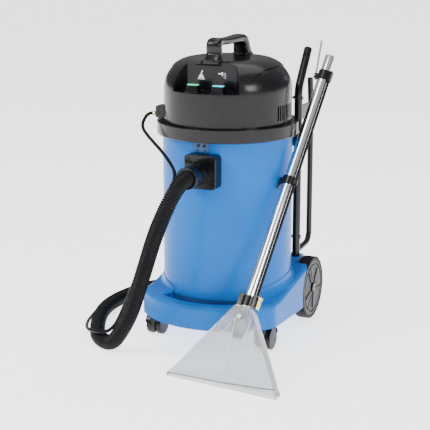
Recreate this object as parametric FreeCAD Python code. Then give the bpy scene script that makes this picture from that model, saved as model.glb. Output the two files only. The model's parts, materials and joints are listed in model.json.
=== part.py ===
"""Carpet cleaner machine: drum tank on a wheeled base, lift-off power head, hoses, and a wand with a clear nozzle.

Millimetres. +Z is up, -Y is the front with the hose inlet, and the origin is on the floor under the drum's axis.
Every piece is a solid of its own, written to parts/NODE.step.
"""
import FreeCAD, Part
import math
import os

V = FreeCAD.Vector
X_AXIS = V(1, 0, 0)
Y_AXIS = V(0, 1, 0)
Z_AXIS = V(0, 0, 1)

# ---- driving dimensions: drum, base and wheels ----
DRUM_R = 193.0            # outer radius of the tank at its rim
DRUM_WALL = 4.0
DRUM_RIM_Z = 640.0        # height of the tank's rim
BASE_FLOOR_Z = 84.0       # underside of the plate that carries the tank
BASE_PLATE = 6.0
BASE_FRONT_R = 262.0      # front arc of the base in plan
BASE_HALF_W = 212.0       # half of the base's width
BASE_REAR_Y = 240.0
BASE_WALL = 5.0
BASE_DECK_Z = 148.0       # height of the base's front deck
BASE_SLOPE_Y = -106.0     # the deck rises behind this line
BASE_REAR_Z = 196.0       # height of the deck at the rear
SKIRT_FRONT_Z = 78.0      # lower edge of the skirt at the front
SKIRT_REAR_Z = 62.0       # lower edge of the skirt beside the wheels
SLOT_OUTER_R = 232.0      # outer edge of the hand slot in the front deck
SLOT_HALF_ANGLE = 33.0
RIB_ANGLES = (-24.0, -12.0, 12.0, 24.0)
RIB_T = 4.0
WHEEL_R = 97.7
WHEEL_Y = 199.0
WHEEL_W = 40.0
AXLE_R = 8.0
CASTER_R = 33.0
CASTER_X = 176.0
CASTER_Y = -152.0
CASTER_TRAIL = 24.0

# ---- driving dimensions: power head ----
RING_R = 210.0            # clamp band round the joint of head and tank
RING_Z0 = 614.0
RING_Z1 = 652.0
HEAD_R = 192.0
HEAD_WALL = 4.0
HEAD_SHOULDER_R = 90.0
HEAD_TOP_Z = 835.0
CHEEK_STEP = 3.0          # the cheek panels lie this much deeper than the rest of the head
# a cheek panel's arched edge: distance from its middle, drop below the head's top
CHEEK_ARCH = [(0, 19), (33, 20), (66, 22), (93, 29), (118, 37), (139, 52), (149, 66), (154, 82)]
RECESS_HALF_W = 76.0      # switch recess at its back wall
RECESS_LIP_HALF_W = 104.0 # switch recess at the front lip
RECESS_BACK_Y = -119.0
RECESS_Z = HEAD_TOP_Z - 85    # floor of the switch recess
HANDLE_LEG_Y = 110.0
HANDLE_TOP_Z = HEAD_TOP_Z + 63
HANDLE_W = 40.0
SWITCH_X = 39.0
SWITCH_Y = -163.0
TRUNNION_R = 2.0
ROCKER_HALF_W = 17.0
ROCKER_HALF_D = 13.2      # half of the rocker's room in its bezel, from front to back
ROCKER_H = 21.0           # height of the rocker's top over the recess floor
WELL_HALF_W = ROCKER_HALF_W + 2.4
WELL_HALF_D = ROCKER_HALF_D + 1.2
WELL_DEPTH = 18.0
WELL_GAP = 0.2            # gap round the switch wells in the cover
VENT_COUNT = 11
VENT_PITCH_DEG = 3.5
VENT_W = 7.0
VENT_Z0 = 664.0
VENT_Z1 = 708.0
OUTLET_Y = -60.0
OUTLET_Z = 664.0

# ---- driving dimensions: inlet, posts and wand ----
INLET_X = 8.0
INLET_Z = 533.0
INLET_SIZE = 98.0
INLET_FACE_Y = -225.0
NECK_R = 34.0
NECK_LEN = 36.0
CUFF_R = 29.0
CUFF_END_Y = -318.0
HOSE_R = 23.0
THIN_HOSE_R = 5.0
POST_X = 150.0
POST_Y = 200.0
POST_R = 12.5
POST_BEND_Z = 724.0
POST_TOP_Y = 282.0
POST_TOP_Z = 834.0
CRADLE_R = 9.0
CRADLE_Y = 323.0
CRADLE_TOP_Z = 743.0
CRADLE_LOW_Z = 231.0
WAND_R = 16.0
WAND_WALL = 1.5
WAND_LEN = 820.0
WAND_END_R = 15.0         # sized end that pushes into the hose's cuff
WAND_END_LEN = 51.0
WAND_JOINT = 400.0        # distance of the wand's collar from its lower end
WAND_FOOT = V(181, -299, 174)
WAND_HEAD = V(250, 195, 825)
MOUTH_W = 342.0
MOUTH_Z = 1.0
MOUTH_MID = V(172.5, -450, 0)
NOZZLE_WALL = 3.0

# ---- clearances ----
RUN_GAP = 0.05            # radial clearance of a running fit
GAP = 0.3                 # clearance between pieces of different bodies
SEAT_GAP = 0.5

# ---- free hoses: points on the centre line, from the machine outwards ----
HOSE_ROUTE = [
    (INLET_X, -300, INLET_Z), (INLET_X, -352, INLET_Z), (-6, -385, 492), (-28, -396, 440), (-57, -393, 372),
    (-86, -383, 295), (-117, -371, 215), (-148, -358, 138), (-184, -348, 76), (-226, -335, 23.2),
    (-293, -297, 23.2), (-352, -188, 23.2), (-392, -90, 23.2), (-411, 4, 23.2), (-402, 112, 23.2),
    (-366, 216, 23.2), (-304, 304, 23.2), (-220, 372, 23.2), (-134, 410, 23.2), (-45, 424, 23.2),
    (40, 424, 23.2),
]
THIN_HOSE_ROUTE = [
    (-216.3, OUTLET_Y, OUTLET_Z), (-231, OUTLET_Y, OUTLET_Z), (-239, -80, 645), (-230, -108, 627), (-191, -150, 612),
    (-149, -187, 597), (-106, -221, 578), (-63, -261, 556), (-33, -299, 541), (-24, -335, 517),
    (-43, -356, 470), (-69, -362, 405), (-97, -360, 335), (-126, -350, 268), (-156, -338, 204),
    (-185, -326, 148), (-206, -318, 108), (-223, -319, 76), (-244, -330, 57), (-284, -326, 52),
    (-335, -288, 42), (-387, -190, 25), (-425, -92, 9), (-447, 6, 8), (-440, 122, 8), (-399, 235, 8),
    (-329, 328, 8), (-240, 396, 8), (-146, 440, 8), (-48, 459, 8), (42, 459, 8),
]


def box(x0, y0, z0, x1, y1, z1):
    """A block between two corners."""
    return Part.makeBox(x1 - x0, y1 - y0, z1 - z0, V(x0, y0, z0))


def rod(radius, length, base, axis=Z_AXIS):
    """A round bar."""
    return Part.makeCylinder(radius, length, V(*base), axis)


def pipe(outer, inner, length, base, axis=Z_AXIS):
    """A straight tube."""
    return rod(outer, length, base, axis).cut(rod(inner, length, base, axis))


def prism(points, z0, height):
    """A polygon in plan, raised from z0."""
    wire = Part.makePolygon([V(x, y, z0) for x, y in points] + [V(points[0][0], points[0][1], z0)])
    return Part.Face(wire).extrude(V(0, 0, height))


def turned(points, centre=(0, 0)):
    """A solid of revolution about a vertical axis, from (radius, height) points."""
    corners = [V(centre[0] + r, centre[1], z) for r, z in points]
    face = Part.Face(Part.makePolygon(corners + corners[:1]))
    return face.revolve(V(centre[0], centre[1], 0), Z_AXIS, 360)


def join(shapes):
    """One solid from several that touch or overlap."""
    result = shapes[0]
    for shape in shapes[1:]:
        result = result.fuse(shape)
    return result.removeSplitter()


def group(shapes):
    """Separate solids kept in one node."""
    return Part.makeCompound(shapes)


def mirrored(shape):
    """The same piece on the machine's other side."""
    return shape.mirror(V(0, 0, 0), X_AXIS)


def about_z(shape, degrees, centre=(0, 0, 0)):
    """A copy turned about a vertical axis."""
    copy = shape.copy()
    copy.rotate(V(*centre), Z_AXIS, degrees)
    return copy


def rounded_box(x0, y0, z0, x1, y1, z1, radius, axis):
    """A block whose four edges along one axis are rounded."""
    block = box(x0, y0, z0, x1, y1, z1)
    edges = [e for e in block.Edges if abs(e.tangentAt(0).dot(axis)) > 0.99]
    return block.makeFillet(radius, edges)


def bent_path(points, label=""):
    """A wire of straight runs joined by tangent arcs, each as large as its two runs allow."""
    corners = [V(*p) for p in points]
    edges = []
    radii = []
    start = corners[0]
    for before, here, after in zip(corners, corners[1:], corners[2:]):
        way_in = (here - before).normalize()
        way_out = (after - here).normalize()
        half_turn = way_in.getAngle(way_out) / 2
        reach = 0.45 * min((here - before).Length, (after - here).Length)
        radii.append(reach / math.tan(half_turn))
        arc_start = here - way_in * reach
        arc_end = here + way_out * reach
        middle = here + (way_out - way_in).normalize() * (
            radii[-1] / math.cos(half_turn) - radii[-1])
        edges.append(Part.LineSegment(start, arc_start).toShape())
        edges.append(Part.Arc(arc_start, middle, arc_end).toShape())
        start = arc_end
    edges.append(Part.LineSegment(start, corners[-1]).toShape())
    if label:
        print(label, "radii", [round(r) for r in radii])
    return Part.Wire(edges)


def swept(path, radius, bore=0.0):
    """A round bar or tube along a path."""
    first = path.OrderedEdges[0]
    start = first.valueAt(first.FirstParameter)
    way = first.tangentAt(first.FirstParameter)
    outer = Part.Wire(Part.makeCircle(radius, start, way))
    solid = path.makePipeShell([outer], True, False)
    if bore:
        inner = Part.Wire(Part.makeCircle(bore, start, way))
        solid = solid.cut(path.makePipeShell([inner], True, False))
    return solid


def cord(points, radius, label):
    """A free hose, with its volume compared with its section times its length."""
    path = bent_path(points, label)
    solid = swept(path, radius)
    expected = math.pi * radius ** 2 * path.Length
    print(label, "length", round(path.Length), "volume ratio", round(solid.Volume / expected, 4))
    return solid


def save(name, shape):
    """Write one node."""
    os.makedirs("parts", exist_ok=True)
    shape.exportStep("parts/" + name + ".step")


# ---- tank ----

DRUM_BOTTOM_Z = BASE_FLOOR_Z + BASE_PLATE + SEAT_GAP
DRUM_INNER_R = DRUM_R - DRUM_WALL
INLET_BORE_R = 21.0
SPIGOT_WALL = 4.8
SPIGOT_LEN = 60.0


def drum_solid(radius, z0, corner):
    """A round-bottomed can up to the rim."""
    can = rod(radius, DRUM_RIM_Z - z0, (0, 0, z0))
    lower = [e for e in can.Edges if abs(e.BoundBox.ZMax - z0) < 0.01]
    return can.makeFillet(corner, lower)


def tank_drum():
    """The recovery tank, open at the top, with the hole that the inlet passes through."""
    outer = drum_solid(DRUM_R, DRUM_BOTTOM_Z, 24)
    inner = drum_solid(DRUM_INNER_R, DRUM_BOTTOM_Z + DRUM_WALL, 20)
    shell = outer.cut(inner.fuse(rod(DRUM_INNER_R, 20, (0, 0, DRUM_RIM_Z - 10))))
    return shell.cut(rod(INLET_BORE_R + 5, 60, (INLET_X, -DRUM_R - 20, INLET_Z), Y_AXIS))


def inlet_plate():
    """Rounded square plate that stands off the drum and carries the hose neck."""
    half = INLET_SIZE / 2
    block = rounded_box(INLET_X - half, INLET_FACE_Y, INLET_Z - half,
                        INLET_X + half, -150, INLET_Z + half, 12, Y_AXIS)
    front = [e for e in block.Edges if abs(e.BoundBox.YMax - INLET_FACE_Y) < 0.01]
    block = block.makeFillet(3, front)
    block = block.cut(rod(DRUM_R + 0.1, 300, (0, 0, INLET_Z - 150)))
    block = block.cut(rod(INLET_BORE_R + 5, 100, (INLET_X, INLET_FACE_Y - 5, INLET_Z), Y_AXIS))
    for x, z in screw_places():
        block = block.cut(rod(SCREW_R, 14, (x, INLET_FACE_Y - 1, z), Y_AXIS))
    return block


SCREW_R = 2.5
SCREW_HEAD_R = 4.5


def screw_places():
    """Corners of the inlet plate's screw pattern."""
    reach = INLET_SIZE / 2 - 13
    return [(INLET_X + sx * reach, INLET_Z + sz * reach) for sx in (-1, 1) for sz in (-1, 1)]


def pan_screw(x, y, z, length):
    """A pan-head screw that points along +Y, its head's underside at y."""
    head = rod(SCREW_HEAD_R, 2.5, (x, y - 2.5, z), Y_AXIS)
    cross = box(x - 3, y - 3, z - 0.6, x + 3, y - 1.3, z + 0.6)
    cross = cross.fuse(box(x - 0.6, y - 3, z - 3, x + 0.6, y - 1.3, z + 3))
    shank = rod(SCREW_R - 0.1, length, (x, y - 0.2, z), Y_AXIS)
    return join([head.cut(cross), shank])


def plate_screws():
    """Four screws of the inlet plate and two of the small cover plate."""
    screws = [pan_screw(x, INLET_FACE_Y, z, 12) for x, z in screw_places()]
    screws += [pan_screw(x, -DRUM_R - 3.0, COVER_SCREW_Z, 3) for x in COVER_SCREW_X]
    return group(screws)


def inlet_neck():
    """Round collar on the plate, with a spigot into the tank and two windows for the cuff's lugs."""
    y0 = INLET_FACE_Y - NECK_LEN
    outer = rod(NECK_R, NECK_LEN, (INLET_X, y0, INLET_Z), Y_AXIS)
    outer = outer.fuse(rod(NECK_R + 3, 5, (INLET_X, INLET_FACE_Y - 5, INLET_Z), Y_AXIS))
    outer = outer.fuse(rod(INLET_BORE_R + SPIGOT_WALL, SPIGOT_LEN, (INLET_X, INLET_FACE_Y, INLET_Z), Y_AXIS))
    bore = rod(INLET_BORE_R, 140, (INLET_X, y0 - 5, INLET_Z), Y_AXIS)
    seat = rod(CUFF_R + RUN_GAP, NECK_LEN - 6, (INLET_X, y0, INLET_Z), Y_AXIS)
    neck = outer.cut(bore).cut(seat)
    for angle in (70, 250):
        lug = box(INLET_X - 7, y0 + 12, INLET_Z, INLET_X + 7, y0 + 22, INLET_Z + NECK_R + 5)
        lug.rotate(V(INLET_X, 0, INLET_Z), Y_AXIS, angle)
        neck = neck.cut(lug)
    return neck


def inlet_deflector():
    """Elbow inside the tank that turns the flow down."""
    y0 = INLET_FACE_Y + SPIGOT_LEN + 0.5
    spigot_r = INLET_BORE_R + SPIGOT_WALL
    elbow = pipe(spigot_r + 3, INLET_BORE_R, 34, (INLET_X, y0, INLET_Z), Y_AXIS)
    socket = pipe(spigot_r + 3, spigot_r + 0.05, 14, (INLET_X, y0 - 12, INLET_Z), Y_AXIS)
    hood = pipe(INLET_BORE_R + 7, INLET_BORE_R + 3, 60, (INLET_X, y0 + 50, INLET_Z - 45))
    lid = rod(INLET_BORE_R + 7, 4, (INLET_X, y0 + 50, INLET_Z + 15))
    hood = hood.cut(rod(INLET_BORE_R, 30, (INLET_X, y0 + 15, INLET_Z - 6), Y_AXIS))
    return join([elbow, socket, hood, lid]).cut(rod(INLET_BORE_R, 32, (INLET_X, y0, INLET_Z), Y_AXIS))


def hose_cuff():
    """Cuff that the suction hose screws into: it swivels in the neck."""
    y0 = INLET_FACE_Y - NECK_LEN
    body = rod(CUFF_R, y0 + 29.5 - CUFF_END_Y, (INLET_X, CUFF_END_Y, INLET_Z), Y_AXIS)
    flare = rod(CUFF_R + 2.5, 16, (INLET_X, CUFF_END_Y, INLET_Z), Y_AXIS)
    ends = [e for e in flare.Edges if abs(e.BoundBox.YMax - CUFF_END_Y) < 0.01]
    flare = flare.makeFillet(2, ends)
    ring = rod(NECK_R - 1, 4, (INLET_X, y0 - 8, INLET_Z), Y_AXIS)
    cuff = join([body, flare, ring])
    cuff = cuff.cut(rod(HOSE_R + GAP, 24, (INLET_X, CUFF_END_Y - 1, INLET_Z), Y_AXIS))
    return cuff.cut(rod(INLET_BORE_R - 1, 120, (INLET_X, CUFF_END_Y, INLET_Z), Y_AXIS))


COVER_SCREW_X = (-9.5, 9.5)
COVER_SCREW_Z = 604.0


def tank_cover_plate():
    """Small plate screwed to the drum under the ring."""
    plate = box(-22, -DRUM_R - 6, 585, 22, -150, 613.5)
    plate = plate.common(rod(DRUM_R + 2.6, 60, (0, 0, 570)).cut(rod(DRUM_R + 0.1, 60, (0, 0, 570))))
    for x in COVER_SCREW_X:
        plate = plate.cut(rod(SCREW_R, 30, (x, -DRUM_R - 10, COVER_SCREW_Z), Y_AXIS))
    return plate


CLEAN_FLAT_Y = 22.0       # flat front wall of the clean water tank
CLEAN_TOP_Z = 560.0
CLEAN_WALL = 3.0
FILLER_Y = 95.0
PICKUP_X = -80.0
PICKUP_Y = 80.0


def clean_half(radius, flat_y, z0, z1):
    """D-shaped block at the back of the drum."""
    return rod(radius, z1 - z0, (0, 0, z0)).common(box(-300, flat_y, z0, 300, 300, z1))


def clean_water_tank():
    """Lift-out tank for the cleaning solution, D-shaped, at the back of the drum."""
    z0 = DRUM_BOTTOM_Z + DRUM_WALL + 22
    outer = clean_half(DRUM_INNER_R - 5, CLEAN_FLAT_Y, z0, CLEAN_TOP_Z)
    inner = clean_half(DRUM_INNER_R - 5 - CLEAN_WALL, CLEAN_FLAT_Y + CLEAN_WALL,
                       z0 + CLEAN_WALL, CLEAN_TOP_Z - CLEAN_WALL)
    neck = pipe(34, 30, 18, (0, FILLER_Y, CLEAN_TOP_Z - 1))
    tank = join([outer, neck]).cut(inner)
    tank = tank.cut(rod(30, 20, (0, FILLER_Y, CLEAN_TOP_Z - 10)))
    return tank.cut(rod(6.1, 20, (PICKUP_X, PICKUP_Y, CLEAN_TOP_Z - 10)))


def clean_tank_cap():
    """Push-on cap of the filler neck."""
    z0 = CLEAN_TOP_Z + 5
    cap = rod(38, 16, (0, FILLER_Y, z0)).cut(rod(34.2, 12.2, (0, FILLER_Y, z0)))
    top = [e for e in cap.Edges if e.BoundBox.ZMin > z0 + 15.9]
    return cap.makeFillet(3, top)


def pickup_tube():
    """Dip tube with a strainer foot, from the clean water up to the pump's socket."""
    z0 = DRUM_BOTTOM_Z + DRUM_WALL + 34
    tube = pipe(6, 4, 628 - z0, (PICKUP_X, PICKUP_Y, z0))
    foot = rod(13, 24, (PICKUP_X, PICKUP_Y, z0)).cut(rod(4, 24, (PICKUP_X, PICKUP_Y, z0)))
    flange = pipe(12, 5.9, 3, (PICKUP_X, PICKUP_Y, CLEAN_TOP_Z + 0.2))
    return join([tube, foot, flange])


# ---- base ----

SLOPE_REAR_Y = 200.0


def plan_outline(inset):
    """The base in plan: a round front that meets straight sides, with softened corners."""
    radius = BASE_FRONT_R - inset
    half = BASE_HALF_W - inset
    body = rod(radius, 300, (0, 0, 0)).common(box(-half, -400, 0, half, 0.5, 300))
    body = join([body, box(-half, 0, 0, half, BASE_REAR_Y - inset, 300)])
    corner_y = -math.sqrt(radius ** 2 - half ** 2)
    soft = [e for e in body.Edges
            if e.BoundBox.XLength < 0.01 and e.BoundBox.YLength < 0.01
            and abs(e.BoundBox.YMin - corner_y) < 0.1]
    body = body.makeFillet(45, soft)
    back = [e for e in body.Edges
            if e.BoundBox.XLength < 0.01 and e.BoundBox.YLength < 0.01
            and abs(e.BoundBox.YMin - BASE_REAR_Y + inset) < 0.1]
    return body.makeFillet(20, back)


def side_profile(drop, floor):
    """The base seen from the side, as wide as the whole machine; drop lowers the deck."""
    outline = [(-300, SKIRT_FRONT_Z - floor), (-300, BASE_DECK_Z - drop),
               (BASE_SLOPE_Y, BASE_DECK_Z - drop), (SLOPE_REAR_Y, BASE_REAR_Z - drop),
               (300, BASE_REAR_Z - drop), (300, SKIRT_REAR_Z - floor), (60, SKIRT_REAR_Z - floor),
               (-140, SKIRT_FRONT_Z - 4 - floor)]
    points = [V(-300, y, z) for y, z in outline]
    return Part.Face(Part.makePolygon(points + points[:1])).extrude(V(600, 0, 0))


def base_block(inset, drop, floor, rounding):
    """Plan and side view intersected, with its upper edge rounded."""
    block = plan_outline(inset).common(side_profile(drop, floor)).removeSplitter()
    edges = []
    for edge in block.Edges:
        size = edge.BoundBox
        middle = edge.CenterOfMass
        flat = size.ZLength < 0.01 or size.YLength > 100
        rim = math.hypot(middle.x, middle.y) > 150 and size.ZMin > BASE_DECK_Z - drop - 1
        outside = size.XLength < 300 or size.YLength > 20
        if flat and rim and outside and size.YMax < BASE_REAR_Y - inset - 19:
            edges.append(edge)
    return block.makeFillet(rounding, edges)


def slot_sector():
    """The hand slot between drum and front deck, as a solid."""
    ring = pipe(SLOT_OUTER_R, DRUM_R - 2, 90, (0, 0, 100))
    side = 400.0
    angle = math.radians(SLOT_HALF_ANGLE)
    wedge = prism([(0, 0), (-side * math.sin(angle), -side * math.cos(angle)), (0, -side * 1.3),
                   (side * math.sin(angle), -side * math.cos(angle))], 100, 90)
    return ring.common(wedge)


FAIRING_H = 32.0          # height of the concave fairing between deck and drum
FAIRING_LIP = 1.2         # wall of the fairing at its upper edge


def deck_fairing():
    """Concave fairing from the sloping deck up to the drum."""
    foot_r = BASE_HALF_W - 3.0
    lip_r = DRUM_R + GAP + FAIRING_LIP
    top_z = BASE_DECK_Z + FAIRING_H
    foot_z = BASE_DECK_Z - 2
    low_z = BASE_DECK_Z - 4
    corners = [V(lip_r, 0, top_z), V(DRUM_R - 1, 0, top_z), V(DRUM_R - 1, 0, low_z), V(foot_r, 0, low_z),
               V(foot_r, 0, foot_z)]
    hollow = V(lip_r + 0.24 * (foot_r - lip_r), 0, BASE_DECK_Z + 0.3 * FAIRING_H)
    curve = Part.Arc(corners[-1], hollow, corners[0]).toShape()
    sides = [Part.LineSegment(p, q).toShape() for p, q in zip(corners, corners[1:])]
    face = Part.Face(Part.Wire(sides + [curve]))
    ring = face.revolve(V(0, 0, 0), Z_AXIS, 360)
    slope = (BASE_REAR_Z - BASE_DECK_Z) / (SLOPE_REAR_Y - BASE_SLOPE_Y)
    shear = FreeCAD.Matrix(1, 0, 0, 0, 0, 1, 0, 0, 0, slope, 1, -slope * BASE_SLOPE_Y, 0, 0, 0, 1)
    return ring.transformGeometry(shear)


def wheel_arch(side):
    """Room for a rear wheel."""
    x0 = side * (BASE_HALF_W - WHEEL_W - 8)
    x1 = side * (BASE_HALF_W + 20)
    return rod(WHEEL_R + 6, abs(x1 - x0), (min(x0, x1), WHEEL_Y, WHEEL_R), X_AXIS)


def chassis_base():
    """One moulding: skirt, deck with the hand slot, floor plate under the tank, ribs and wheel arches."""
    outer = base_block(0, 0, 0, 14)
    inner = base_block(BASE_WALL, BASE_WALL, 60, 10)
    shell = outer.cut(inner)
    plate = rod(212, BASE_PLATE, (0, 0, BASE_FLOOR_Z)).common(box(-206, -206, 0, 206, 232, 300))
    ribs = []
    for angle in RIB_ANGLES + (55.0, -55.0, 90.0, -90.0, 150.0, -150.0, 180.0):
        rib = box(-RIB_T / 2, -BASE_FRONT_R, BASE_FLOOR_Z, RIB_T / 2, -DRUM_R - 4, 132)
        ribs.append(about_z(rib, angle).common(inner))
    plate = plate.common(plan_outline(2))
    wells = []
    for side in (-1, 1):
        x0 = side * (BASE_HALF_W - WHEEL_W - 8 - BASE_WALL)
        x1 = side * BASE_HALF_W
        well = rod(WHEEL_R + 6 + BASE_WALL, abs(x1 - x0), (min(x0, x1), WHEEL_Y, WHEEL_R), X_AXIS)
        wells.append(well.common(base_block(2, 2, 0, 12)))
    bosses = []
    for side in (-1, 1):
        bosses.append(rod(POST_R + 5, 180, (side * POST_X, POST_Y, 16)).common(inner))
        boss = rod(17, BASE_DECK_Z - CASTER_STEM_Z - 2, (side * CASTER_X, CASTER_Y, CASTER_STEM_Z))
        bosses.append(boss.common(outer))
    body = join([shell, plate] + ribs + wells + bosses + [deck_fairing()])
    body = body.cut(rod(DRUM_R + GAP, 400, (0, 0, BASE_FLOOR_Z + BASE_PLATE)))
    body = body.cut(slot_sector().cut(join(ribs)))
    for side in (-1, 1):
        body = body.cut(wheel_arch(side))
        body = body.cut(rod(POST_R + RUN_GAP, 300, (side * POST_X, POST_Y, POST_FOOT_Z)))
        body = body.cut(rod(CASTER_STEM_R + RUN_GAP, 40, (side * CASTER_X, CASTER_Y, CASTER_STEM_Z - 1)))
    bore = rod(AXLE_R + RUN_GAP, 500, (-250, WHEEL_Y, WHEEL_R), X_AXIS)
    return body.cut(bore)


POST_FOOT_Z = 130.0
CASTER_STEM_Z = 2 * CASTER_R + 6
CASTER_STEM_R = 6.0


AXLE_HALF = BASE_HALF_W - 3.5


def rear_axle():
    """Steel axle across the machine."""
    return rod(AXLE_R, 2 * AXLE_HALF, (-AXLE_HALF, WHEEL_Y, WHEEL_R), X_AXIS)


def axle_caps():
    """Push-on caps at the ends of the axle."""
    cap = rod(15, 5, (AXLE_HALF, WHEEL_Y, WHEEL_R), X_AXIS)
    cap = cap.makeFillet(2, [e for e in cap.Edges if e.BoundBox.XMin > BASE_HALF_W + 1])
    return group([cap, mirrored(cap)])


WHEEL_IN_X = BASE_HALF_W - WHEEL_W
TYRE_T = 10.0


def rear_tyre():
    """Solid tyre with rounded shoulders."""
    tyre = rod(WHEEL_R, WHEEL_W - 3, (WHEEL_IN_X + 1, WHEEL_Y, WHEEL_R), X_AXIS)
    tyre = tyre.makeFillet(5, [e for e in tyre.Edges if e.Curve.TypeId == "Part::GeomCircle"])
    core = rod(WHEEL_R - TYRE_T, WHEEL_W + 10, (WHEEL_IN_X - 5, WHEEL_Y, WHEEL_R), X_AXIS)
    return tyre.cut(core)


def rear_hub():
    """Wheel disc with a groove round it, three radial grooves and a bore for the axle."""
    face = BASE_HALF_W - 1.5
    disc = rod(WHEEL_R - TYRE_T - 0.05, WHEEL_W - 5, (WHEEL_IN_X + 2, WHEEL_Y, WHEEL_R), X_AXIS)
    hollow = pipe(WHEEL_R - TYRE_T - 8, 26, WHEEL_W - 14, (WHEEL_IN_X + 1, WHEEL_Y, WHEEL_R), X_AXIS)
    groove = pipe(WHEEL_R - 20, WHEEL_R - 25, 6, (face - 4, WHEEL_Y, WHEEL_R), X_AXIS)
    dish = rod(24, 6, (face - 4, WHEEL_Y, WHEEL_R), X_AXIS)
    hub = disc.cut(hollow).cut(groove).cut(dish)
    for angle in (20, 140, 260):
        cut = box(face - 4, WHEEL_Y - 2.5, WHEEL_R + 20, face + 5, WHEEL_Y + 2.5, WHEEL_R + WHEEL_R - 22)
        cut.rotate(V(0, WHEEL_Y, WHEEL_R), X_AXIS, angle)
        hub = hub.cut(cut)
    hub = hub.fuse(rod(17, 2.5, (face - 5, WHEEL_Y, WHEEL_R), X_AXIS))
    return hub.cut(rod(AXLE_R + RUN_GAP, 100, (WHEEL_IN_X - 10, WHEEL_Y, WHEEL_R), X_AXIS))


def caster_fork(side):
    """Hooded swivel body of a front caster, with its stem."""
    x = side * CASTER_X
    wheel_y = CASTER_Y + CASTER_TRAIL
    hood = rod(CASTER_R + 3, 12, (x - 6, wheel_y, CASTER_R), X_AXIS)
    cover = rod(CASTER_R + 3, 50, (x - 25, wheel_y, CASTER_R), X_AXIS)
    cover = cover.cut(rod(CASTER_R + 1.2, 60, (x - 30, wheel_y, CASTER_R), X_AXIS))
    cover = cover.common(box(x - 40, wheel_y - 60, CASTER_R + 8, x + 40, wheel_y + 60, 90))
    web = hood.common(box(x - 6, wheel_y - 60, 14, x + 6, wheel_y + 60, 90))
    neck = rod(12, CASTER_STEM_Z - 1.5 - CASTER_R, (x, CASTER_Y, CASTER_R))
    stem = rod(CASTER_STEM_R, 36, (x, CASTER_Y, CASTER_STEM_Z - 2))
    body = join([web, cover, neck.cut(cover_room(x, wheel_y)), stem])
    axle = rod(4, 46, (x - 23, wheel_y, CASTER_R), X_AXIS)
    return join([body, axle])


def cover_room(x, wheel_y):
    """The space that the two caster wheels turn in."""
    left = rod(CASTER_R + 1.2, 40, (x - 46, wheel_y, CASTER_R), X_AXIS)
    right = rod(CASTER_R + 1.2, 40, (x + 6, wheel_y, CASTER_R), X_AXIS)
    return left.fuse(right)


def caster_wheels(side):
    """The two wheels of a front caster."""
    x = side * CASTER_X
    wheel_y = CASTER_Y + CASTER_TRAIL
    wheels = []
    for x0 in (x - 6.5 - 17, x + 6.5):
        wheel = rod(CASTER_R, 17, (x0, wheel_y, CASTER_R), X_AXIS)
        wheel = wheel.makeFillet(3, [e for e in wheel.Edges if e.Curve.TypeId == "Part::GeomCircle"])
        wheels.append(wheel.cut(rod(4 + RUN_GAP, 60, (x0 - 20, wheel_y, CASTER_R), X_AXIS)))
    return group(wheels)


# ---- rear frame ----

def post_path():
    """Centre line of the right post, which leans back at its top."""
    return [(POST_X, POST_Y, POST_FOOT_Z + 1), (POST_X, POST_Y, POST_BEND_Z),
            (POST_X, POST_TOP_Y, POST_TOP_Z)]


def short_bend(points, radius):
    """A wire through three or more points with equal tangent arcs at its corners."""
    corners = [V(*p) for p in points]
    edges = []
    start = corners[0]
    for before, here, after in zip(corners, corners[1:], corners[2:]):
        way_in = (here - before).normalize()
        way_out = (after - here).normalize()
        half_turn = way_in.getAngle(way_out) / 2
        reach = radius * math.tan(half_turn)
        middle = here + (way_out - way_in).normalize() * (radius / math.cos(half_turn) - radius)
        edges.append(Part.LineSegment(start, here - way_in * reach).toShape())
        edges.append(Part.Arc(here - way_in * reach, middle, here + way_out * reach).toShape())
        start = here + way_out * reach
    edges.append(Part.LineSegment(start, corners[-1]).toShape())
    return Part.Wire(edges)


POST_WALL = 2.0
PIN_HOLE_R = 3.5


def post_way():
    """Direction of the post's leaning top."""
    return V(0, POST_TOP_Y - POST_Y, POST_TOP_Z - POST_BEND_Z).normalize()


def pin_hole_centre():
    """Centre of the hole near the post's top."""
    return V(POST_X, POST_TOP_Y, POST_TOP_Z) - post_way() * 24


def rear_post():
    """Tube that stands in the base and leans back at its top, with a cross hole and bolt holes."""
    post = swept(short_bend(post_path(), 60), POST_R, POST_R - POST_WALL)
    across = post_way().cross(X_AXIS)
    hole = Part.makeCylinder(PIN_HOLE_R, 60, pin_hole_centre() - across * 30, across)
    post = post.cut(hole)
    for z in BOLT_HEIGHTS:
        post = post.cut(rod(BOLT_R + 0.1, 60, (POST_X - 30, POST_Y, z), X_AXIS))
    return post


BOLT_R = 3.0
BOLT_HEIGHTS = (POST_BEND_Z - 28, CRADLE_LOW_Z + 26)
BRACKET_Z = POST_BEND_Z - 78


def post_end_caps():
    """Rounded caps in the posts' upper ends."""
    way = post_way()
    tip = V(POST_X, POST_TOP_Y, POST_TOP_Z)
    plug = Part.makeCylinder(POST_R - POST_WALL, 12, tip - way * 12, way)
    dome = Part.makeCylinder(POST_R, 6, tip, way)
    dome = dome.makeFillet(5, [e for e in dome.Edges if (e.CenterOfMass - tip).dot(way) > 5.9])
    cap = join([plug, dome])
    return group([cap, mirrored(cap)])


def cradle_tube():
    """J-shaped tube behind the post: a long leg, a round bend, and a foot that meets the post."""
    foot_y = POST_Y + POST_R - 1.5
    path = short_bend([(POST_X, CRADLE_Y - 14, CRADLE_TOP_Z), (POST_X, CRADLE_Y - 2, 640),
                       (POST_X, CRADLE_Y, CRADLE_LOW_Z - 15), (POST_X, foot_y, CRADLE_LOW_Z - 22)], 34)
    tube = swept(path, CRADLE_R, CRADLE_R - 1.8)
    return tube.cut(rod(POST_R, 700, (POST_X, POST_Y, 100)))


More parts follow.
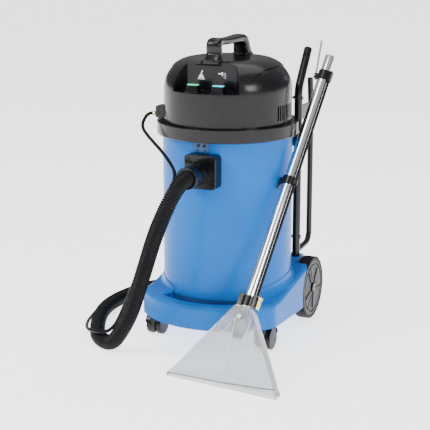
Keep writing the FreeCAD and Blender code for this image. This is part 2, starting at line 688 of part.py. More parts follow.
def post_brackets():
    """Plates that tie each cradle tube to its post."""
    plate = box(POST_X - 3, POST_Y + 5, BRACKET_Z - 22, POST_X + 3, CRADLE_Y - 2, BRACKET_Z + 22)
    plate = plate.cut(rod(POST_R + 0.05, 400, (POST_X, POST_Y, BRACKET_Z - 200)))
    plate = plate.cut(swept(cradle_wire(), CRADLE_R + 0.05))
    largest = max(plate.Solids, key=lambda solid: solid.Volume)
    return group([largest, mirrored(largest)])


def cradle_wire():
    """Centre line of the cradle tube's long leg."""
    return short_bend([(POST_X, CRADLE_Y - 14, CRADLE_TOP_Z), (POST_X, CRADLE_Y - 2, 640),
                       (POST_X, CRADLE_Y, CRADLE_LOW_Z + 60)], 34)


def post_bolts():
    """Cross bolts of the posts, each with its head outside and its nut inside."""
    bolts = []
    for z in BOLT_HEIGHTS:
        shank = rod(BOLT_R, 2 * POST_R + 20, (POST_X - POST_R - 14, POST_Y, z), X_AXIS)
        head = rod(6, 4, (POST_X + POST_R + 0.1, POST_Y, z), X_AXIS)
        nut = rod(5.5, 4.5, (POST_X - POST_R - 4.6, POST_Y, z), X_AXIS)
        shank = shank.common(box(0, 0, 0, POST_X + POST_R + 2, 400, 900))
        bolt = join([shank, head, nut])
        bolts += [bolt, mirrored(bolt)]
    return group(bolts)


# ---- power head ----

def dome(radius, shoulder, z0, top):
    """Round head: an upright wall, a shoulder arc and a flat crown."""
    bend = top - shoulder
    start = V(0, 0, z0)
    points = [V(radius, 0, z0), V(radius, 0, bend)]
    mid = V(radius - shoulder * (1 - math.cos(math.pi / 4)), 0, bend + shoulder * math.sin(math.pi / 4))
    end = V(radius - shoulder, 0, top)
    edges = [Part.LineSegment(start, points[0]).toShape(), Part.LineSegment(points[0], points[1]).toShape(),
             Part.Arc(points[1], mid, end).toShape(), Part.LineSegment(end, V(0, 0, top)).toShape(),
             Part.LineSegment(V(0, 0, top), start).toShape()]
    return Part.Face(Part.Wire(edges)).revolve(V(0, 0, 0), Z_AXIS, 360)


def recess_block(grow):
    """Switch recess: an upright back wall and splayed sides."""
    half = RECESS_HALF_W + grow
    lip = RECESS_LIP_HALF_W + grow
    return prism([(-half, RECESS_BACK_Y + grow), (half, RECESS_BACK_Y + grow), (lip, -165),
                  (lip, -230), (-lip, -230), (-lip, -165)], RECESS_Z - grow, 150)


def vent_slots():
    """Upright slots through both cheeks."""
    slots = []
    for side in (-1, 1):
        for k in range(VENT_COUNT):
            angle = side * (90 + (k - (VENT_COUNT - 1) / 2) * VENT_PITCH_DEG)
            slot = rounded_box(-VENT_W / 2, -HEAD_R - 10, VENT_Z0, VENT_W / 2, -HEAD_R + 12,
                               VENT_Z1, 2.5, Y_AXIS)
            slots.append(about_z(slot, angle))
    return slots


def cheek_cuts():
    """What is taken off both sides of the head for the sunken panels under their arched edges."""
    rear = [V(0, y, HEAD_TOP_Z - drop) for y, drop in CHEEK_ARCH]
    front = [V(0, -p.y, p.z) for p in reversed(rear[1:])]
    arch = Part.BSplineCurve()
    arch.interpolate(front + rear)
    low_front = V(0, front[0].y, RING_Z1 - 10)
    low_rear = V(0, rear[-1].y, RING_Z1 - 10)
    edges = [arch.toShape(), Part.LineSegment(rear[-1], low_rear).toShape(),
             Part.LineSegment(low_rear, low_front).toShape(),
             Part.LineSegment(low_front, front[0]).toShape()]
    panel = Part.Face(Part.Wire(edges)).extrude(V(HEAD_R, 0, 0))
    panel.translate(V(HEAD_R / 3, 0, 0))
    core = dome(HEAD_R - CHEEK_STEP, HEAD_SHOULDER_R - CHEEK_STEP, RING_Z1 - 20, HEAD_TOP_Z - CHEEK_STEP)
    return join([panel.cut(core), mirrored(panel.cut(core))])


def head_cover():
    """Domed cover with a sunken panel in each cheek, the switch recess and the vents."""
    outer = dome(HEAD_R, HEAD_SHOULDER_R, RING_Z1, HEAD_TOP_Z).cut(cheek_cuts()).cut(recess_block(0))
    wall = HEAD_WALL + CHEEK_STEP
    inner = dome(HEAD_R - wall, HEAD_SHOULDER_R - wall, RING_Z1 - 1, HEAD_TOP_Z - wall)
    cover = outer.cut(inner.cut(recess_block(HEAD_WALL)))
    cover = cover.cut(join(vent_slots()))
    for x in (-SWITCH_X, SWITCH_X):
        half_w = WELL_HALF_W + WELL_GAP
        half_d = WELL_HALF_D + WELL_GAP
        cover = cover.cut(box(x - half_w, SWITCH_Y - half_d, RECESS_Z - WELL_DEPTH - 2,
                              x + half_w, SWITCH_Y + half_d, RECESS_Z + 10))
    return cover


def head_ring():
    """Band that closes the joint of head and tank: outer skirt and inner flange."""
    return turned([(HEAD_R - 7, RING_Z1 - 4), (RING_R - 4, RING_Z1 - 4), (RING_R - 4, RING_Z0),
                   (RING_R - 1.5, RING_Z0), (RING_R, RING_Z0 + 1.5), (RING_R, RING_Z1 - 2),
                   (RING_R - 2, RING_Z1), (HEAD_R - 7, RING_Z1)])


def head_seal():
    """Soft ring between the tank's rim and the head."""
    return turned([(DRUM_INNER_R - 1, DRUM_RIM_Z + GAP), (DRUM_R + 2, DRUM_RIM_Z + GAP),
                   (DRUM_R + 2, RING_Z1 - 4), (DRUM_INNER_R - 1, RING_Z1 - 4)])


FLOAT_X = 0.0
FLOAT_Y = -40.0
DECK_R = HEAD_R - 7.2


def motor_deck():
    """Deck that closes the head from below and carries the motor and the pump."""
    deck = rod(DECK_R, 6, (0, 0, RING_Z1 - 6.2))
    rim = pipe(DECK_R - 8, DECK_R - 12, 12, (0, 0, RING_Z1 - 17))
    deck = join([deck, rim]).cut(rod(28, 40, (FLOAT_X, FLOAT_Y, RING_Z1 - 20)))
    return deck.cut(rod(PUMP_SOCKET_R, 40, (PICKUP_X, PICKUP_Y, RING_Z1 - 20)))


PUMP_SOCKET_R = 10.0


def vacuum_motor():
    """By-pass vacuum motor: fan case, field case and top bearing."""
    z0 = RING_Z1
    fan = rod(72, 44, (0, -20, z0))
    fan = fan.makeFillet(4, [e for e in fan.Edges if e.Curve.TypeId == "Part::GeomCircle"])
    field = rod(46, 70, (0, -20, z0 + 43))
    bearing = rod(20, 26, (0, -20, z0 + 112))
    motor = join([fan, field, bearing])
    return motor.cut(rod(26, 8, (FLOAT_X, FLOAT_Y, z0 - 1)))


def solution_pump():
    """Diaphragm pump whose socket drops over the pick-up tube."""
    z0 = RING_Z1
    body = rounded_box(PICKUP_X - 34, PICKUP_Y - 26, z0, PICKUP_X + 34, PICKUP_Y + 34, z0 + 56, 6, Z_AXIS)
    cap = rod(24, 30, (PICKUP_X, PICKUP_Y + 4, z0 + 55))
    socket = rod(PUMP_SOCKET_R - 0.1, 24, (PICKUP_X, PICKUP_Y, z0 - 22))
    pump = join([body, cap, socket])
    return pump.cut(rod(6 + GAP, 24, (PICKUP_X, PICKUP_Y, z0 - 30)))


FLOAT_CAGE_R = 38.0
FLOAT_BALL_R = 29.0
FLOAT_LOW_Z = 552.0


def float_cage():
    """Open basket under the deck that guides the float ball."""
    top = RING_Z1 - 17.2
    cage = pipe(FLOAT_CAGE_R, FLOAT_CAGE_R - 4, top - FLOAT_LOW_Z, (FLOAT_X, FLOAT_Y, FLOAT_LOW_Z))
    for k in range(6):
        slot = box(-9, -60, FLOAT_LOW_Z + 10, 9, 0, top - 14)
        slot.translate(V(FLOAT_X, FLOAT_Y, 0))
        cage = cage.cut(about_z(slot, 60 * k, (FLOAT_X, FLOAT_Y, 0)))
    base = pipe(FLOAT_CAGE_R - 3.5, 15, 4, (FLOAT_X, FLOAT_Y, FLOAT_LOW_Z))
    neck = pipe(FLOAT_CAGE_R, 26, 4, (FLOAT_X, FLOAT_Y, top - 4))
    spigot = pipe(27.8, 24, 17, (FLOAT_X, FLOAT_Y, top - 1))
    return join([cage, base, neck, spigot])


def float_ball():
    """Ball that rises with the water and shuts the suction."""
    return Part.makeSphere(FLOAT_BALL_R, V(FLOAT_X, FLOAT_Y, FLOAT_LOW_Z + 6 + FLOAT_BALL_R))


def carry_handle():
    """Arched grip over the head, with two feet."""
    half = HANDLE_W / 2
    outer = rounded_box(-half, -HANDLE_LEG_Y - 24, HEAD_TOP_Z, half, HANDLE_LEG_Y + 24,
                        HANDLE_TOP_Z, 26, X_AXIS)
    outer = outer.fuse(box(-half, -HANDLE_LEG_Y - 24, HEAD_TOP_Z, half, HANDLE_LEG_Y + 24, HEAD_TOP_Z + 28))
    inner = rounded_box(-half - 1, -HANDLE_LEG_Y + 22, HEAD_TOP_Z - 30, half + 1, HANDLE_LEG_Y - 22,
                        HANDLE_TOP_Z - 20, 12, X_AXIS)
    arch = outer.cut(inner)
    feet = []
    for y in (-HANDLE_LEG_Y, HANDLE_LEG_Y):
        feet.append(box(-half - 3, y - 26, HEAD_TOP_Z - 40, half + 3, y + 26, HEAD_TOP_Z + 6))
    tab = box(-half - 20, -HANDLE_LEG_Y - 20, HEAD_TOP_Z - 6, -half, -HANDLE_LEG_Y + 6, HEAD_TOP_Z + 4)
    handle = join([arch] + feet + [tab])
    below = dome(HEAD_R + 0.1, HEAD_SHOULDER_R + 0.1, 600, HEAD_TOP_Z + 0.1)
    return handle.cut(below)


def rocker(x):
    """Paddle of a switch, hinged about X at the recess floor on two trunnions."""
    profile = [(-10, -6), (-12, 3), (-10, ROCKER_H), (9, ROCKER_H), (10.5, -6)]
    points = [V(x - ROCKER_HALF_W, SWITCH_Y + y, RECESS_Z + z) for y, z in profile]
    body = Part.Face(Part.makePolygon(points + points[:1])).extrude(V(2 * ROCKER_HALF_W, 0, 0))
    body = body.makeFillet(1.5, [e for e in body.Edges if e.BoundBox.ZMin > RECESS_Z + ROCKER_H - 0.1])
    half = ROCKER_HALF_W + 1.9
    return join([body, rod(TRUNNION_R, 2 * half, (x - half, SWITCH_Y, RECESS_Z), X_AXIS)])


def switch_bezels():
    """Frames round the two rockers, with bores for their trunnions."""
    frames = []
    room_w = ROCKER_HALF_W + 0.4
    for x in (-SWITCH_X, SWITCH_X):
        rim = rounded_box(x - WELL_HALF_W - 2.5, SWITCH_Y - WELL_HALF_D - 1.5, RECESS_Z + 0.1,
                          x + WELL_HALF_W + 2.5, SWITCH_Y + WELL_HALF_D + 1.5, RECESS_Z + 3, 3, Z_AXIS)
        well = box(x - WELL_HALF_W, SWITCH_Y - WELL_HALF_D, RECESS_Z - WELL_DEPTH,
                   x + WELL_HALF_W, SWITCH_Y + WELL_HALF_D, RECESS_Z + 0.2)
        room = box(x - room_w, SWITCH_Y - ROCKER_HALF_D, RECESS_Z - WELL_DEPTH + 2,
                   x + room_w, SWITCH_Y + ROCKER_HALF_D, RECESS_Z + 5)
        bore = rod(TRUNNION_R + RUN_GAP, 2 * WELL_HALF_W + 2, (x - WELL_HALF_W - 1, SWITCH_Y, RECESS_Z), X_AXIS)
        frames.append(join([rim, well]).cut(room).cut(bore))
    return group(frames)


def vent_grilles():
    """Curved mesh plates behind the vents."""
    radius = HEAD_R - HEAD_WALL - CHEEK_STEP - 0.4
    plates = []
    for side in (-1, 1):
        band = pipe(radius, radius - 1.5, VENT_Z1 - VENT_Z0 + 8, (0, 0, VENT_Z0 - 3))
        window = box(120, -75, 600, 260, 75, 800)
        plate = band.common(window)
        plates.append(plate if side > 0 else mirrored(plate))
    return group(plates)


OUTLET_X = -200.0


def outlet_bracket():
    """Block on the head's left cheek that holds the solution outlet."""
    block = box(OUTLET_X, OUTLET_Y - 20, OUTLET_Z - 9, -170, OUTLET_Y + 22, OUTLET_Z + 26)
    edges = [e for e in block.Edges if e.BoundBox.XMax < OUTLET_X + 0.01]
    block = block.makeFillet(4, edges)
    block = block.cut(dome(HEAD_R - CHEEK_STEP + 0.1, HEAD_SHOULDER_R, 600, HEAD_TOP_Z))
    return block.cut(rod(4.1, 80, (OUTLET_X - 1, OUTLET_Y, OUTLET_Z), X_AXIS))


def hexagon(x0, length, radius):
    """A hexagonal bar along X on the outlet's axis."""
    points = [V(x0, OUTLET_Y + radius * math.cos(k * math.pi / 3), OUTLET_Z + radius * math.sin(k * math.pi / 3))
              for k in range(6)]
    return Part.Face(Part.makePolygon(points + points[:1])).extrude(V(length, 0, 0))


def outlet_nipple():
    """Brass nipple with a hexagon, from the bracket to the thin hose."""
    core = rod(4, 32, (-216, OUTLET_Y, OUTLET_Z), X_AXIS)
    nipple = join([core, hexagon(OUTLET_X - 4.1, 4, 8)])
    return nipple.cut(rod(2, 40, (-217, OUTLET_Y, OUTLET_Z), X_AXIS))


SLEEVE_TRAVEL = 3.0


def coupler_sleeve():
    """Spring-loaded sleeve of the outlet coupling."""
    x1 = OUTLET_X - 4.1 - SLEEVE_TRAVEL - 0.4
    sleeve = rod(7.5, 7.5, (x1 - 7.5, OUTLET_Y, OUTLET_Z), X_AXIS)
    sleeve = sleeve.makeFillet(1, [e for e in sleeve.Edges if e.Curve.TypeId == "Part::GeomCircle"])
    return sleeve.cut(rod(4 + RUN_GAP, 30, (x1 - 15, OUTLET_Y, OUTLET_Z), X_AXIS))


def mains_inlet():
    """Appliance inlet at the back of the head."""
    y0 = HEAD_R + 9
    block = rounded_box(-22, 160, 676, 22, y0, 712, 4, Y_AXIS)
    block = block.cut(dome(HEAD_R + 0.1, HEAD_SHOULDER_R, 600, HEAD_TOP_Z))
    well = rounded_box(-14, y0 - 7, 684, 14, y0 + 5, 704, 3, Y_AXIS)
    block = block.cut(well)
    pins = [box(x - 2, y0 - 8, 690, x + 2, y0 - 2, 697) for x in (-8, 0, 8)]
    return join([block] + pins)


def latch_base():
    """Hinge block on the drum under the ring."""
    block = box(DRUM_R - 3, -20, 572, DRUM_R + 13, 20, 594)
    block = block.makeFillet(3, [e for e in block.Edges if e.BoundBox.XMin > DRUM_R + 12.9])
    block = block.cut(box(DRUM_R + 4, -13, 570, DRUM_R + 20, 13, 600))
    block = block.cut(rod(DRUM_R + 0.1, 100, (0, 0, 540)))
    block = block.cut(rod(2 + RUN_GAP, 60, (LATCH_PIVOT_X, -30, LATCH_PIVOT_Z), Y_AXIS))
    return about_z(block, LATCH_ANGLE)


LATCH_ANGLE = 25.0        # the latches stand this far behind the machine's sides
LATCH_PIVOT_X = DRUM_R + 9
LATCH_PIVOT_Z = 583.0


def latch_clip():
    """Over-centre clip beside the ring, with its own hinge pin."""
    x0 = RING_R + 1.2
    plate = box(x0, -18, 596, x0 + 4, 18, RING_Z1 - 4)
    plate = plate.makeFillet(1.5, [e for e in plate.Edges if e.BoundBox.XMin > x0 + 3.9])
    arm = box(LATCH_PIVOT_X - 3.5, -12, LATCH_PIVOT_Z - 3, x0 + 4, 12, 604)
    arm = arm.cut(rod(RING_R + 0.8, 60, (0, 0, 603)))
    pin = rod(2, 39, (LATCH_PIVOT_X, -19.5, LATCH_PIVOT_Z), Y_AXIS)
    return about_z(join([plate, arm, pin]), LATCH_ANGLE)


# ---- wand ----

def wand_frame():
    """Placement whose Z runs up the wand and whose X is level, to the machine's right."""
    up = (WAND_HEAD - WAND_FOOT).normalize()
    level = Z_AXIS.cross(up).normalize() * -1
    front = up.cross(level)
    matrix = FreeCAD.Matrix(level.x, front.x, up.x, WAND_FOOT.x, level.y, front.y, up.y, WAND_FOOT.y,
                            level.z, front.z, up.z, WAND_FOOT.z, 0, 0, 0, 1)
    return FreeCAD.Placement(matrix)


def on_wand(shape):
    """A piece made on the Z axis, moved to the wand's line."""
    copy = shape.copy()
    copy.Placement = wand_frame().multiply(copy.Placement)
    return copy


def wand_lower_tube():
    """Lower half of the chromed wand."""
    return on_wand(pipe(WAND_R, WAND_R - WAND_WALL, WAND_JOINT - 0.2 + 12, (0, 0, -12)))


def wand_upper_tube():
    """Upper half of the chromed wand, with a swaged end inside the lower tube."""
    shoulder = WAND_LEN - WAND_END_LEN
    upper = pipe(WAND_R, WAND_R - WAND_WALL, shoulder - WAND_JOINT, (0, 0, WAND_JOINT))
    end = pipe(WAND_END_R, WAND_R - 2 * WAND_WALL, WAND_END_LEN + 4, (0, 0, shoulder - 4))
    swage = pipe(WAND_R - WAND_WALL - RUN_GAP, WAND_R - 2 * WAND_WALL, 36, (0, 0, WAND_JOINT - 30))
    root = pipe(WAND_R - WAND_WALL + 0.1, WAND_R - 2 * WAND_WALL, 6, (0, 0, WAND_JOINT))
    return on_wand(join([upper, end, root, swage]))


def wand_collar():
    """Collar over the wand's joint, with a hook for the hose on its left."""
    collar = pipe(WAND_R + 4, WAND_R + 0.05, 24, (0, 0, WAND_JOINT - 12))
    arm = box(-WAND_R - 9, -6, WAND_JOINT - 10, -WAND_R - 2, 6, WAND_JOINT + 8)
    tip = box(-WAND_R - 10.5, -6, WAND_JOINT - 26, -WAND_R - 7, 6, WAND_JOINT + 8)
    clip = pipe(THIN_LINE_R + 3, THIN_LINE_R + 0.05, 16, (LINE_X, 0, WAND_JOINT - 8))
    clip = clip.cut(rod(WAND_R + 1, 60, (0, 0, WAND_JOINT - 30)))
    body = join([collar, arm, tip, clip])
    return on_wand(body.cut(rod(THIN_LINE_R + 0.05, 60, (LINE_X, 0, WAND_JOINT - 30))))


THIN_LINE_R = 4.0
LINE_X = WAND_R + THIN_LINE_R + 1.0
VALVE_Z = 735.0


def solution_line():
    """Thin line along the wand, from the brass fitting to the valve."""
    return on_wand(pipe(THIN_LINE_R, THIN_LINE_R - 1.2, VALVE_Z - 0.2 - 26, (LINE_X, 0, 26)))


def wand_valve():
    """Valve body clamped on the wand, where the lever's pivot sits."""
    clamp = pipe(WAND_R + 2.5, WAND_R + 0.05, 30, (0, 0, VALVE_Z + 2))
    block = box(WAND_R + 1, -6, VALVE_Z, WAND_R + 10, 6, VALVE_Z + 34)
    ears = box(-WAND_R - 14, -6, VALVE_Z + 9, -WAND_R - 1, 6, VALVE_Z + 24)
    body = join([clamp, block, ears]).cut(rod(WAND_R + 0.05, 60, (0, 0, VALVE_Z - 10)))
    body = body.cut(box(-WAND_R - 15, -3.3, VALVE_Z + 5, -WAND_R - 5, 3.3, VALVE_Z + 40))
    return on_wand(body.cut(rod(2 + RUN_GAP, 30, LEVER_PIVOT_LOCAL, Y_AXIS)))


LEVER_PIVOT_LOCAL = (-WAND_R - 10, -15, VALVE_Z + 17)
LEVER_LEAN = 9.0
LEVER_LEN = 125.0
LEVER_R = 3.0


def trigger_lever():
    """Slim chromed lever that is squeezed towards the wand."""
    x, _, z = LEVER_PIVOT_LOCAL
    rod_shape = rod(LEVER_R, LEVER_LEN - 2.5, (x, 0, z + 2.5))
    rod_shape = rod_shape.makeFillet(2, [e for e in rod_shape.Edges if e.BoundBox.ZMin > z + LEVER_LEN - 0.1])
    rod_shape.rotate(V(x, 0, z), Y_AXIS, -LEVER_LEAN)
    boss = rod(4.5, 6.2, (x, -3.1, z), Y_AXIS)
    pin = rod(2, 11.6, (x, -5.8, z), Y_AXIS)
    return on_wand(join([rod_shape, boss, pin]))


CLAMP_SIDE_X = WAND_R + 10


def nozzle_clamp():
    """Clamp blocks on both sides of the wand, above the nozzle."""
    collar = pipe(WAND_R + 3, WAND_R + 0.05, 30, (0, 0, 6))
    left = rounded_box(-WAND_R - 14, -9, 4, -WAND_R + 2, 9, 42, 3, Y_AXIS)
    right = rounded_box(WAND_R - 2, -9, 6, CLAMP_SIDE_X, 9, 42, 2, Y_AXIS)
    body = join([collar, left, right]).cut(rod(WAND_R + 0.05, 80, (0, 0, -20)))
    return on_wand(body.cut(rod(THIN_LINE_R + 0.05, 80, (LINE_X, 0, 26))))


def brass_fitting():
    """Brass elbow beside the clamp's right block."""
    stub = rod(4, 12, (CLAMP_SIDE_X + 0.05, 0, 18), X_AXIS)
    barrel = rod(5.5, 30, (CLAMP_SIDE_X + 7, 0, 3))
    nut = rod(7, 9, (CLAMP_SIDE_X + 7, 0, 30))
    return on_wand(join([stub, barrel, nut]))


def rect_wire(centre, across, along, width, depth):
    """A rectangle about a point, from two directions."""
    half_a = across * (width / 2)
    half_b = along * (depth / 2)
    corners = [centre - half_a - half_b, centre + half_a - half_b, centre + half_a + half_b,
               centre - half_a + half_b]
    return Part.makePolygon(corners + corners[:1])


def nozzle_ways():
    """Directions of the nozzle: level across it, down to its mouth, and out of its front."""
    frame = wand_frame()
    level = frame.Rotation.multVec(X_AXIS)
    mouth = V(MOUTH_MID.x, MOUTH_MID.y, MOUTH_Z)
    way = (mouth - frame.multVec(V(0, 0, 0))).normalize()
    return level, way, way.cross(level).normalize()


NECK_W = 50.0
NECK_D = 46.0
LIP_D = 26.0
LIP_H = 8.0


def nozzle_loft(inset, start, end):
    """The fishtail between its neck and its mouth; start and end lengthen it along its own line."""
    level, way, front = nozzle_ways()
    top = wand_frame().multVec(V(0, 0, 0))
    mouth = V(MOUTH_MID.x, MOUTH_MID.y, MOUTH_Z + LIP_H - end)
    flat = level.cross(Z_AXIS).normalize()
    neck = rect_wire(top - way * start, level, front * -1, NECK_W - 2 * inset, NECK_D - 2 * inset)
    lip = rect_wire(mouth, level, flat * -1, MOUTH_W - 2 * inset, LIP_D - 2 * inset)
    return Part.makeLoft([neck, lip], True, True)


def nozzle_body():
    """Clear fishtail nozzle: a flat fan with a lip at its mouth and a socket for the wand."""
    level = nozzle_ways()[0]
    flat = level.cross(Z_AXIS).normalize()
    fan = nozzle_loft(0, 0, 0).cut(nozzle_loft(NOZZLE_WALL, -NOZZLE_WALL, 1.5))
    mouth = V(MOUTH_MID.x, MOUTH_MID.y, MOUTH_Z)
    outer = Part.Face(rect_wire(mouth, level, flat, MOUTH_W, LIP_D)).extrude(V(0, 0, LIP_H))
    inner = Part.Face(rect_wire(mouth, level, flat, MOUTH_W - 2 * NOZZLE_WALL, LIP_D - 2 * NOZZLE_WALL))
    inner = inner.extrude(V(0, 0, LIP_H))
    socket = on_wand(rod(WAND_R + 4, 34, (0, 0, -32)))
    body = join([fan, outer.cut(inner), socket])
    body = body.cut(on_wand(rod(WAND_R + 0.05, 44, (0, 0, -12.2))))
    body = body.cut(on_wand(rod(WAND_R - 2, 60, (0, 0, -50))))
    return body.cut(jet_rod(JET_R, 10, 40))


JET_R = 4.5
JET_DOWN = 34.0           # distance of the jet from the nozzle's neck


def jet_rod(radius, inner, outer):
    """A bar across the nozzle's front wall at the jet's place, between two distances from its middle."""
    level, way, front = nozzle_ways()
    foot = wand_frame().multVec(V(0, 0, 0)) + way * JET_DOWN
    return Part.makeCylinder(radius, outer - inner, foot + front * inner, front)


def spray_jet():
    """Jet through the nozzle's front wall."""
    return join([jet_rod(JET_R - 0.05, 12, 28), jet_rod(JET_R + 2, 23, 27)])


# ---- hose ends ----

def hose_end_cuff():
    """Cuff at the far end of the suction hose, which pushes onto the wand."""
    x, y, z = HOSE_ROUTE[-1]
    body = rod(HOSE_R + 0.1, 80, (x - 18 + 18.3, y, z), X_AXIS)
    return body.cut(rod(WAND_END_R + RUN_GAP, 60, (x + 25, y, z), X_AXIS)).cut(
        rod(WAND_R - 3, 90, (x - 5, y, z), X_AXIS))


def line_connector():
    """Brass connector at the far end of the thin hose."""
    x, y, z = THIN_HOSE_ROUTE[-1]
    body = rod(4.5, 26, (x + 0.3, y, z), X_AXIS)
    nut = rod(7.5, 10, (x + 4, y, z), X_AXIS)
    return join([body, nut]).cut(rod(2, 60, (x - 5, y, z), X_AXIS))


def build():
    """Write every node."""
    for name, shape in all_nodes():
        save(name, shape)
        print(name, "solids", len(shape.Solids), "valid", shape.isValid(), "volume", round(shape.Volume))


def all_nodes():
    """Node names and shapes, body by body."""
    yield "tank_drum", tank_drum()
    yield "inlet_plate", inlet_plate()
    yield "plate_screws", plate_screws()
    yield "inlet_neck", inlet_neck()
    yield "inlet_deflector", inlet_deflector()
    yield "tank_cover_plate", tank_cover_plate()
    yield "clean_water_tank", clean_water_tank()
    yield "clean_tank_cap", clean_tank_cap()
    yield "pickup_tube", pickup_tube()
    yield "chassis_base", chassis_base()
    yield "rear_axle", rear_axle()
    yield "axle_caps", axle_caps()
    post = rear_post()
    yield "rear_posts", group([post, mirrored(post)])
    yield "post_end_caps", post_end_caps()
    cradle = cradle_tube()
    yield "cradle_tubes", group([cradle, mirrored(cradle)])
    yield "post_brackets", post_brackets()
    yield "post_bolts", post_bolts()
    base = latch_base()
    yield "latch_bases", group([base, mirrored(base)])
    yield "suction_hose", cord(HOSE_ROUTE, HOSE_R, "suction_hose")
    yield "hose_end_cuff", hose_end_cuff()
    yield "solution_hose", cord(THIN_HOSE_ROUTE, THIN_HOSE_R, "solution_hose")
    yield "line_connector", line_connector()
    yield "hose_cuff", hose_cuff()
    hub = rear_hub()
    yield "right_wheel_hub", hub
    yield "left_wheel_hub", mirrored(hub)
    tyre = rear_tyre()
    yield "right_tyre", tyre
    yield "left_tyre", mirrored(tyre)
    for name, side in (("left", -1), ("right", 1)):
        yield name + "_caster_fork", caster_fork(side)
        yield name + "_caster_wheels", caster_wheels(side)
    yield "head_cover", head_cover()
    yield "head_ring", head_ring()
    yield "head_seal", head_seal()
    yield "motor_deck", motor_deck()
    yield "vacuum_motor", vacuum_motor()
    yield "solution_pump", solution_pump()
    yield "float_cage", float_cage()
    yield "float_ball", float_ball()
    yield "carry_handle", carry_handle()
    yield "switch_bezels", switch_bezels()
    yield "vent_grilles", vent_grilles()
    yield "outlet_bracket", outlet_bracket()
    yield "outlet_nipple", outlet_nipple()
    yield "coupler_sleeve", coupler_sleeve()
    yield "mains_inlet", mains_inlet()
    yield "vacuum_rocker", rocker(-SWITCH_X)
    yield "pump_rocker", rocker(SWITCH_X)
    clip = latch_clip()
    yield "right_latch", clip
    yield "left_latch", mirrored(clip)
    yield "wand_lower_tube", wand_lower_tube()
    yield "wand_upper_tube", wand_upper_tube()
    yield "wand_collar", wand_collar()
    yield "solution_line", solution_line()
    yield "wand_valve", wand_valve()
    yield "trigger_lever", trigger_lever()
    yield "nozzle_clamp", nozzle_clamp()
    yield "brass_fitting", brass_fitting()
    yield "nozzle_body", nozzle_body()
    yield "spray_jet", spray_jet()


build()
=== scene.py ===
"""Carpet cleaner machine: finishes, hoses, small parts, soft light and camera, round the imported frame.

Metres. +Z is up, -Y is the front with the hose inlet, and the origin is on the floor under the drum's axis.
"""
import json
import logging
import math
from dataclasses import dataclass, field
from enum import Enum
from typing import Iterable, Optional, Sequence

import bmesh
import bpy
from mathutils import Matrix, Vector


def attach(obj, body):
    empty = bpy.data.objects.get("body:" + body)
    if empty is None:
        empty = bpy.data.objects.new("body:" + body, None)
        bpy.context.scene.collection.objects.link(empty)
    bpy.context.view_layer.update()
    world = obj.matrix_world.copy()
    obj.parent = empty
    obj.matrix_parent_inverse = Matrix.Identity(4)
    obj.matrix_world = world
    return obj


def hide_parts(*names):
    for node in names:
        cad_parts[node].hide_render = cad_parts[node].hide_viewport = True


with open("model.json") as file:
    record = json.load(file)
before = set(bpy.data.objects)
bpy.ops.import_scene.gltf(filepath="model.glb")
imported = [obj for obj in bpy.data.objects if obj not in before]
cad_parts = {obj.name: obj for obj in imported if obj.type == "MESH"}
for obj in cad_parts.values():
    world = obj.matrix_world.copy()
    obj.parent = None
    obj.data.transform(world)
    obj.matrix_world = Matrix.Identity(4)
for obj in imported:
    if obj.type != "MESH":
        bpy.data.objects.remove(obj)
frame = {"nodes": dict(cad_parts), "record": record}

LOG = logging.getLogger("carpet_cleaner")
MM = 0.001
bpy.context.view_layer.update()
Point = Sequence[float]
SQUARISH = 6.0            # power of the outline of a block with soft corners


class Body(Enum):
    """The moving bodies that pieces of this file ride on."""

    CHASSIS = "chassis"
    HEAD = "power_head"
    WAND = "wand"
    VACUUM_SWITCH = "vacuum_switch"
    PUMP_SWITCH = "pump_switch"
    LEFT_WHEEL = "left_wheel"
    RIGHT_WHEEL = "right_wheel"


# ---- finishes ----

